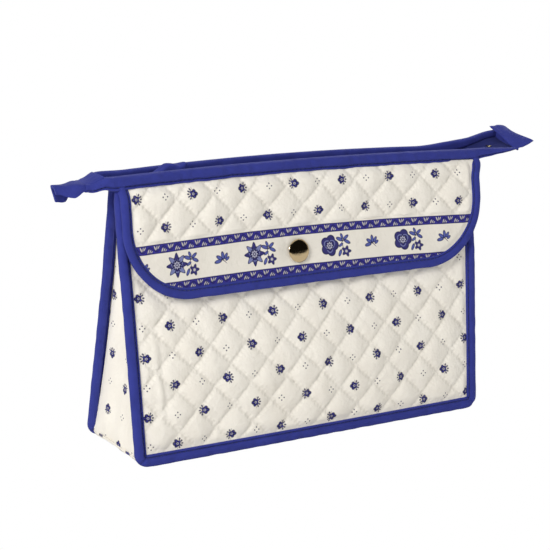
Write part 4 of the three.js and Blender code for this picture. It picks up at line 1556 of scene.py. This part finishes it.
    def right_tab(self) -> None:
        """Makes the tab of binding sewn across the ends of the right tail."""
        end_z = float(BAG.mouth_top(self.right_start)) + self.right_tab_rise
        front = float(self.inner(-1, self.right_end, end_z)) - self.right_tab_overhang
        back = float(self.inner(1, self.right_end, end_z)) + self.right_tab_overhang
        t = np.linspace(0, 1, 40)[:, None]
        y = lerp(front, back, t)
        out, side = Roll(samples=12).section()
        width = self.right_tab_width * (1 - 0.24 * np.sin(math.pi * t) ** 1.5)
        close = np.sqrt(np.clip(1 - np.abs(2 * t - 1) ** 12, 0.03, 1))
        near = (1 - t) ** 1.5
        set_back = self.right_tab_set_back
        x = self.right_end - set_back + (width + set_back + 2.4 * near) * out + 1.6 * near
        tip = near * 5.0 * (out - 1) + t**2 * 1.2 * (1 - out)
        high = end_z + self.right_tab_slope * y + tip - side * 2.1 * close
        flat = (t * 31, walked(stacked(out * 10, side * 2)))
        over = loft_piece("right_end_tab_over", (x, y, high), flat)
        t = np.linspace(0.06, 0.94, 30)[:, None]
        y = lerp(front, back, t)
        turn = np.linspace(0, TAU, 13)[None, :-1]
        floor = lerp(170.0, 175.2, t)
        roof = end_z + self.right_tab_slope * y - 5.0 * (1 - t) ** 3.0
        z = (roof + floor) / 2 + (np.maximum(roof - floor, 0.8) / 2) * np.sin(turn)
        x = self.right_end + 0.6 + 0.9 * np.cos(turn) + 1.6 * (1 - t) ** 1.5
        under = loft_piece("right_end_tab_under", (x, y, z), (t * 31, turn * 4))
        settle(joined([over, under], "right_end_tab_cloth"), BINDING, "pouch", ["right_end_tab"])


@dataclass
class Zip:
    """The zip in the mouth: tapes, coils, end stop, slider and cloth-covered pull."""

    mouth: Mouth
    tape_start: float = -149.0
    coil_start: float = -138.0
    tape_leg: float = 4.2
    tape: float = 0.6
    stop_x: float = 158.0
    slider_x: float = -105.0
    coil_pitch: float = 1.5
    coil_offset: float = 1.05
    tape_width: float = 10.0
    stop_size: tuple[float, float, float] = (2.4, 5.2, 2.0)
    pull_root: float = -1.2
    pull_length: float = 30.0
    pull_slope: float = 22.0
    pull_height: float = 171.0

    def line(self, x: Array, y: float) -> Array:
        """Height of the zip: level between the walls, and following the tails."""
        right = (6.1 + 0.32 * y) * smooth(self.mouth.tail(1, x))
        left = 3.0 * smooth(self.mouth.tail(-1, x)) - 1.6 * ease(x, -120, -130)
        return BAG.zip_height + right - left + 0.8 * self.mouth.narrowing(x)

    def leg(self, outward: int, x: Array, z: Array) -> Array:
        """Depth of a tape where it lies against the lining."""
        apart, inner = self.mouth.parted(outward, x), self.mouth.inner(outward, x, z)
        if outward < 0:
            depth = np.maximum(6.5 - BAG.wall_step(z), BAG.seam_back) + 0.3
            return np.maximum(BAG.front(x, z) + depth - apart, inner + 0.3)
        return np.minimum(BAG.back(x, z) - 4.9 + apart, inner - 0.3)

    def tape_piece(self, name: str, run: tuple[float, float], outward: int) -> tuple[Piece, float]:
        """Makes a zip tape: a leg down the lining, and a shelf that reaches the coil.

        Returns:
            The tape, and its width when it is laid flat.
        """
        x = np.linspace(*run, int(abs(run[1] - run[0]) / 2.5) + 2)[:, None]
        top, low = self.mouth.edges(outward, x)
        held = ease(np.abs(x), 117, 123)
        high = self.line(x, outward * 6.0)
        high = lerp(high, np.clip(high, low + 1.8, top - 0.8), held)
        drop = lerp(self.tape_leg, 0.8, held)
        shelf = self.line(x, 0.0)
        sewn_in = self.mouth.inner(outward, x, high) + outward * 1.2
        wall = lerp(self.leg(outward, x, high), sewn_in, held)
        low_wall = lerp(self.leg(outward, x, high - drop), sewn_in, held)
        coil = BAG.zip_centre + outward * 0.12 + 0 * x
        sag = 0.25 * ripple(x, 0 * x, 24.0, 121 + outward)
        halfway = (lerp(wall, coil, 0.5), lerp(high, shelf, 0.5) + sag)
        profile = [
            (low_wall - outward * self.tape, high - drop),
            (wall - outward * self.tape, high - self.tape * 1.6),
            (halfway[0], halfway[1] - self.tape),
            (coil, shelf - self.tape),
            (coil, shelf),
            halfway,
            (wall, high),
            (low_wall, high - drop),
        ]
        y, z = (np.concatenate(part, 1) for part in zip(*profile))
        around = np.array([0, 4, 8, 12, 12.6, 16, 20, 24.0])
        return loft_piece(name, (x, y, z), (x, around)), float((drop + np.abs(wall - coil)).mean())

    def coil_piece(self, name: str, run: tuple[float, float], outward: int) -> Piece:
        """Makes the small nylon loops of one coil."""
        upright = (0, math.pi / 2, 0)
        bpy.ops.mesh.primitive_torus_add(
            major_segments=10, minor_segments=4, major_radius=0.82, minor_radius=0.34, rotation=upright
        )
        bpy.ops.object.transform_apply(rotation=True)
        corners, faces = taken((1.5, 1.15, 0.85))
        shift = self.coil_pitch / 2 if outward > 0 else 0.0
        placed = []
        for x in np.arange(min(run) + 1, max(run) - 0.5, self.coil_pitch) + shift:
            z = float(self.line(x, 0.0)) - self.tape / 2
            placed.append(corners + np.array([x, BAG.zip_centre + outward * self.coil_offset, z]))
        return copies(name, placed, faces)

    def half(
        self,
        part: str,
        words: tuple[str, str],
        tape: tuple[float, float],
        coil: tuple[float, float],
        outward: int,
        motion: str | Bend,
    ) -> None:
        """Makes one stretch of tape and coil.

        Args:
            part: front or back.
            words: Last word of the tape's name and of the coil's.
            tape: x where the tape starts and ends.
            coil: x where the coil starts and ends.
            outward: -1 for the front half and 1 for the back one.
            motion: The body that it rides on, or how it bends.
        """
        piece, width = self.tape_piece(f"zip_tape_{part}_{words[0]}", tape, outward)
        settle(piece, TAPE, motion, ["zip_tape_" + part])
        length = abs(tape[1] - tape[0])
        flat = (length * MM, max(width, self.tape_width) * MM)
        length * width * MM * MM
        loops = self.coil_piece(f"zip_coil_{part}_{words[1]}", coil, outward)
        settle(loops, COIL, motion, ["zip_coil_" + part])

    def build(self) -> None:
        """Makes the whole zip."""
        coil_end = self.stop_x - self.stop_size[0]
        ends = {-1: (self.tape_start, self.coil_start), 1: (self.mouth.right_end, coil_end)}
        tape, coil = zip(ends[-1], ends[1])
        self.half("front", ("woven", "nylon"), tape, coil, -1, "pouch")
        for side, word in SIDES:
            tape, coil = ((0.0, end) for end in ends[side])
            self.half("back", (word, word), tape, coil, 1, mouth_bend(side))
        self.stop()
        self.slider()
        self.pull()

    def stop(self) -> None:
        """Makes the metal end stop, a bent strip pressed over both coils."""
        middle = (self.stop_x, BAG.zip_centre, float(self.line(self.stop_x, 0.0)) - self.tape / 2)
        piece = bevelled_box("zip_end_stop_metal", self.stop_size, middle, 0.5)
        cut = Vector(middle) * MM
        work_on(piece, lambda: bpy.ops.mesh.bisect(plane_co=cut, plane_no=(0, 1, 0), use_fill=False))
        for vertex in piece.data.vertices:
            if abs(vertex.co.y - cut.y) < 0.3 * MM and vertex.co.z > cut.z:
                vertex.co.z -= 0.35 * MM
        settle(piece, STOP_METAL, "pouch", ["zip_end_stop"])

    def slider(self) -> None:
        """Makes the slider: two plates round the coils, a bridge, and the loop that holds the pull."""
        x, y, z = self.slider_x, BAG.zip_centre, BAG.zip_height - self.tape / 2
        size = (8.0, 6.0, 1.0)
        plates = [bevelled_box("plate", size, (x, y, z + rise), 0.4, taper=0.72) for rise in (1.8, -1.8)]
        bridge = bevelled_box("bridge", (2.0, 0.8, 3.4), (x - 2.0, y, z), 0.2)
        bpy.ops.mesh.primitive_torus_add(
            major_segments=28, minor_segments=10, major_radius=2.5 * MM, minor_radius=0.5 * MM,
            location=Vector((x, y, z + 2.6)) * MM, rotation=(math.pi / 2, 0, 0),
        )
        bail = bpy.context.active_object
        bail.scale = (1.0, 1.15, 1.25)
        bpy.ops.object.transform_apply()
        piece = joined([*plates, bridge, bail], "zip_slider_metal")
        shade(piece, 40)
        settle(piece, ENAMEL, "slider", ["zip_slider"])

    def pull(self) -> None:
        """Makes the pull: a narrow strip of binding folded through the loop, drawn in at both ends."""
        t = np.linspace(0, 1, 36)[:, None]
        reach = lerp(self.pull_root, self.pull_length, t)
        slope = math.radians(self.pull_slope)
        lift = 0.5 * np.sin(t * 8.0) * t - 5.0 * ease(t, 0.45, 1.0)
        wide = lerp(1.9, 3.3, ease(t, 0.06, 0.31))
        thick = lerp(0.9, 2.9, ease(t, 0.06, 0.56)) * (1 + 0.16 * np.sin(t * 13 + 1.0))
        turn = np.linspace(0, TAU, 25)[:-1]
        c, s = np.cos(turn), np.sin(turn)
        close = np.sqrt(np.clip(1 - np.abs(2 * t - 1) ** 7, 0.02, 1))
        uneven = 1 + 0.07 * ripple(t * 20, turn * 4, 7.0, 131)
        x = self.slider_x + reach * math.cos(slope)
        y = BAG.zip_centre + 0.5 * np.sin(t * 4) + wide * np.sign(c) * np.abs(c) ** 0.7 * close * uneven
        rise = self.pull_height + reach * math.sin(slope)
        z = rise + lift + thick * np.sign(s) * np.abs(s) ** 0.55 * close * uneven
        piece = loft_piece("zip_pull_cloth", (x, y, z), (t * 18, turn * 3))
        settle(piece, BINDING, "pull", ["zip_pull"])


def bevelled_box(
    name: str, size: Sequence[float], at: Sequence[float], bevel: float, taper: float = 1.0
) -> Piece:
    """Makes a small pressed-metal block with rounded edges, narrowed at its far end in x.

    Args:
        name: Name of the block.
        size: Its width, depth and height in millimetres.
        at: Its middle in millimetres.
        bevel: Radius of its edges.
        taper: Share of its depth that is left at its +x end.

    Returns:
        The block.
    """
    bpy.ops.mesh.primitive_cube_add(size=1.0, location=[c * MM for c in at])
    piece = bpy.context.active_object
    piece.name = name
    piece.scale = [c * MM for c in size]
    bpy.ops.object.transform_apply()
    for vertex in piece.data.vertices:
        if vertex.co.x > at[0] * MM:
            vertex.co.y = lerp(at[1] * MM, vertex.co.y, taper)
    work_on(piece, lambda: bpy.ops.mesh.bevel(offset=bevel * MM, segments=3, affect="EDGES"))
    shade(piece, 40)
    return piece


# The press stud and the studio


@dataclass
class PressStud:
    """The press stud: a stamped gold cap on the flap, its socket, and the stud and post on the pocket."""

    x: float = BAG.stud_x
    height: float = BAG.stud_height
    cap_radius: float = 7.5

    def lathe(self, name: str, profile: Sequence[tuple[float, float]], degrees: float = 35.0) -> Piece:
        """Spins a profile about the stud's axis and sets it square to the front.

        Args:
            name: Name of the piece.
            profile: Radius and height out from the front's outer face in millimetres, along the outline.
            degrees: Edges sharper than this stay crisp.

        Returns:
            The turned piece.
        """
        mesh = bpy.data.meshes.new(name)
        points = [(radius * MM, 0.0, out * MM) for radius, out in profile]
        mesh.from_pydata(points, [(i, i + 1) for i in range(len(points) - 1)], [])
        piece = linked(name, mesh)
        work_on(
            piece,
            lambda: bpy.ops.mesh.spin(steps=56, angle=TAU, center=(0, 0, 0), axis=(0, 0, 1)),
            lambda: bpy.ops.mesh.remove_doubles(threshold=0.00001),
            lambda: bpy.ops.mesh.normals_make_consistent(inside=False),
        )
        behind, y, ahead = (float(BAG.front(self.x, self.height + rise)) for rise in (-1, 0, 1))
        lean = -math.atan((ahead - behind) / 2)
        place = Matrix.Translation((self.x * MM, y * MM, self.height * MM))
        piece.data.transform(place @ Matrix.Rotation(math.pi / 2 + lean, 4, "X"))
        shade(piece, degrees)
        return piece

    def build(self) -> None:
        """Makes the four parts of the stud."""
        face, rim = BAG.flap_offset, self.cap_radius
        cap = [
            (0, face + 2.15), (1.5, face + 2.12), (3.0, face + 2.02), (4.5, face + 1.86), (5.7, face + 1.66),
            (6.5, face + 1.45), (7.1, face + 1.2), (rim, face + 0.8), (7.4, face + 0.5), (6.8, face + 0.3),
            (1.8, face + 0.3), (1.8, 2.4), (0, 2.4),
        ]
        socket = [
            (2.5, 2.0), (4.2, 2.0), (4.8, 1.8), (5.0, 1.4), (4.8, 1.0),
            (4.0, 0.85), (2.9, 0.85), (2.5, 1.1), (2.5, 2.0),
        ]
        stud = [
            (0, -0.95), (4.4, -0.95), (5.0, -0.75), (4.9, -0.5), (2.4, -0.35), (1.6, 0.1),
            (1.7, 0.8), (2.0, 1.2), (1.8, 1.5), (1.2, 1.65), (0, 1.7),
        ]
        post = [(0, -1.35), (1.2, -1.35), (1.2, -1.9), (4.2, -1.9), (4.5, -2.1), (4.3, -2.35), (0, -2.4)]
        settle(self.lathe("snap_cap_metal", cap, 50), GOLD, "flap", ["snap_cap"])
        hidden = (("snap_socket", socket, "flap"), ("snap_stud", stud, "pouch"), ("snap_post", post, "pouch"))
        for node, profile, body in hidden:
            settle(self.lathe(node + "_metal", profile), NICKEL, body, [node])


@dataclass
class Studio:
    """A plain pale floor and backdrop, soft lamps from the upper left, and the camera."""

    yaw: float = 32.03
    pitch: float = 14.35
    roll: float = 1.46
    distance: float = 1140.77
    target: tuple[float, float, float] = (-12.36, 0.0, 100.65)
    lens: float = 116.0
    lamp_aim: tuple[float, float, float] = (0.0, 0.0, 90.0)

    def build(self) -> None:
        """Makes the floor, the lamps, the world and the camera."""
        self.camera()
        self.floor()
        self.lamp("key", (-1150, -560, 820), size=450, power=12.5)
        self.lamp("fill", (700, -1000, 700), size=900, power=1.7).visible_glossy = False
        self.lamp("back", (950, 850, 800), size=500, power=7.0)
        self.world()
        bpy.context.scene.view_settings.view_transform = "Standard"

    def camera(self) -> None:
        """Sets the camera where the picture was taken from."""
        yaw, pitch = math.radians(self.yaw), math.radians(self.pitch)
        c, s = math.cos(math.radians(self.roll)), math.sin(math.radians(self.roll))
        ahead = Vector((math.sin(yaw) * math.cos(pitch), math.cos(yaw) * math.cos(pitch), -math.sin(pitch)))
        right = ahead.cross(Vector((0, 0, 1))).normalized()
        up = right.cross(ahead)
        rows = (right * c + up * s, up * c - right * s, -ahead)
        data = bpy.data.cameras.new("camera")
        data.sensor_width = 36.0
        data.lens = self.lens
        data.clip_end = 20.0
        camera = linked("camera", data)
        place = Vector(self.target) * MM - ahead * self.distance * MM
        camera.matrix_world = Matrix.Translation(place) @ Matrix(rows).transposed().to_4x4()
        bpy.context.scene.camera = camera

    def lamp(self, name: str, at: Sequence[float], size: float, power: float) -> Piece:
        """Hangs a soft square lamp that faces the bag.

        Args:
            name: Name of the lamp.
            at: Its place in millimetres.
            size: Its width in millimetres.
            power: Its power in watts.

        Returns:
            The lamp.
        """
        data = bpy.data.lights.new(name, "AREA")
        data.energy = power
        data.size = size * MM
        lamp = linked(name, data)
        place = Vector(at) * MM
        aim = Vector(self.lamp_aim) * MM - place
        lamp.matrix_world = Matrix.Translation(place) @ aim.to_track_quat("-Z", "Y").to_matrix().to_4x4()
        return lamp

    def shown(self, tree: Nodes, way: bpy.types.Node) -> Signal:
        """1 for what the camera sees, straight, in metal or through glass."""
        straight = Signal(tree, way.outputs["Is Camera Ray"])
        mirrored = straight.to("MAXIMUM", way.outputs["Is Glossy Ray"])
        return mirrored.to("MAXIMUM", way.outputs["Is Transmission Ray"])

    def floor(self) -> None:
        """Makes a wide pale floor that the camera sees as white but for the shadow."""
        bpy.ops.mesh.primitive_plane_add(size=12.0, location=(0, 0, -0.0006))
        floor = bpy.context.active_object
        floor.name = "floor"
        bpy.ops.object.transform_apply()
        paper = bpy.data.materials.new("studio_paper")
        tree = cleared(paper)
        matt = add_node(tree, "BsdfDiffuse", None, {"Color": srgb("#F4F4F4")})
        glow = add_node(tree, "Emission", None, {"Color": (1, 1, 1, 1), "Strength": 1.0})
        seen = self.shown(tree, add_node(tree, "LightPath"))
        mixed = add_node(tree, "MixShader", None, {0: seen, 1: matt.outputs[0], 2: glow.outputs[0]})
        add_node(tree, "OutputMaterial", None, {"Surface": mixed.outputs[0]})
        floor.data.materials.append(paper)

    def world(self) -> None:
        """Fills the room with even light, white to the eye, with a black card for the metal to mirror."""
        world = bpy.data.worlds.new("room")
        tree = cleared(world)
        way = add_node(tree, "LightPath")
        seen = self.shown(tree, way)
        place = add_node(tree, "TexCoord")
        parts = add_node(tree, "SeparateXYZ", None, {0: place.outputs["Generated"]})
        up = Signal(tree, parts.outputs[2])
        forward = Signal(tree, parts.outputs[1])
        dark = (up - 0.42).size().under(0.4, 0.05) * forward.under(-0.3, 0.1)
        white_but_card = (dark * way.outputs["Is Glossy Ray"]).to("MULTIPLY_ADD", -0.99, 1.0)
        light = add_node(tree, "Background", None, {"Color": (1, 1, 1, 1), "Strength": 0.42})
        white = add_node(tree, "Background", None, {"Color": (1, 1, 1, 1), "Strength": white_but_card})
        mixed = add_node(tree, "MixShader", None, {0: seen, 1: light.outputs[0], 2: white.outputs[0]})
        add_node(tree, "OutputWorld", None, {"Surface": mixed.outputs[0]})
        bpy.context.scene.world = world


def corners(box: Sequence) -> list:
    """A box's corners as plain lists."""
    return [[float(c) for c in corner] for corner in box]


def main() -> None:
    """Builds the studio and every piece of the bag."""
    logging.basicConfig(level=logging.INFO, format="%(message)s")
    Studio().build()
    mouth = Mouth()
    for part in (FrontWall(), BackWall(), Gussets(), Flap(), mouth, Zip(mouth), PressStud()):
        part.build()


if __name__ == "__main__":
    main()
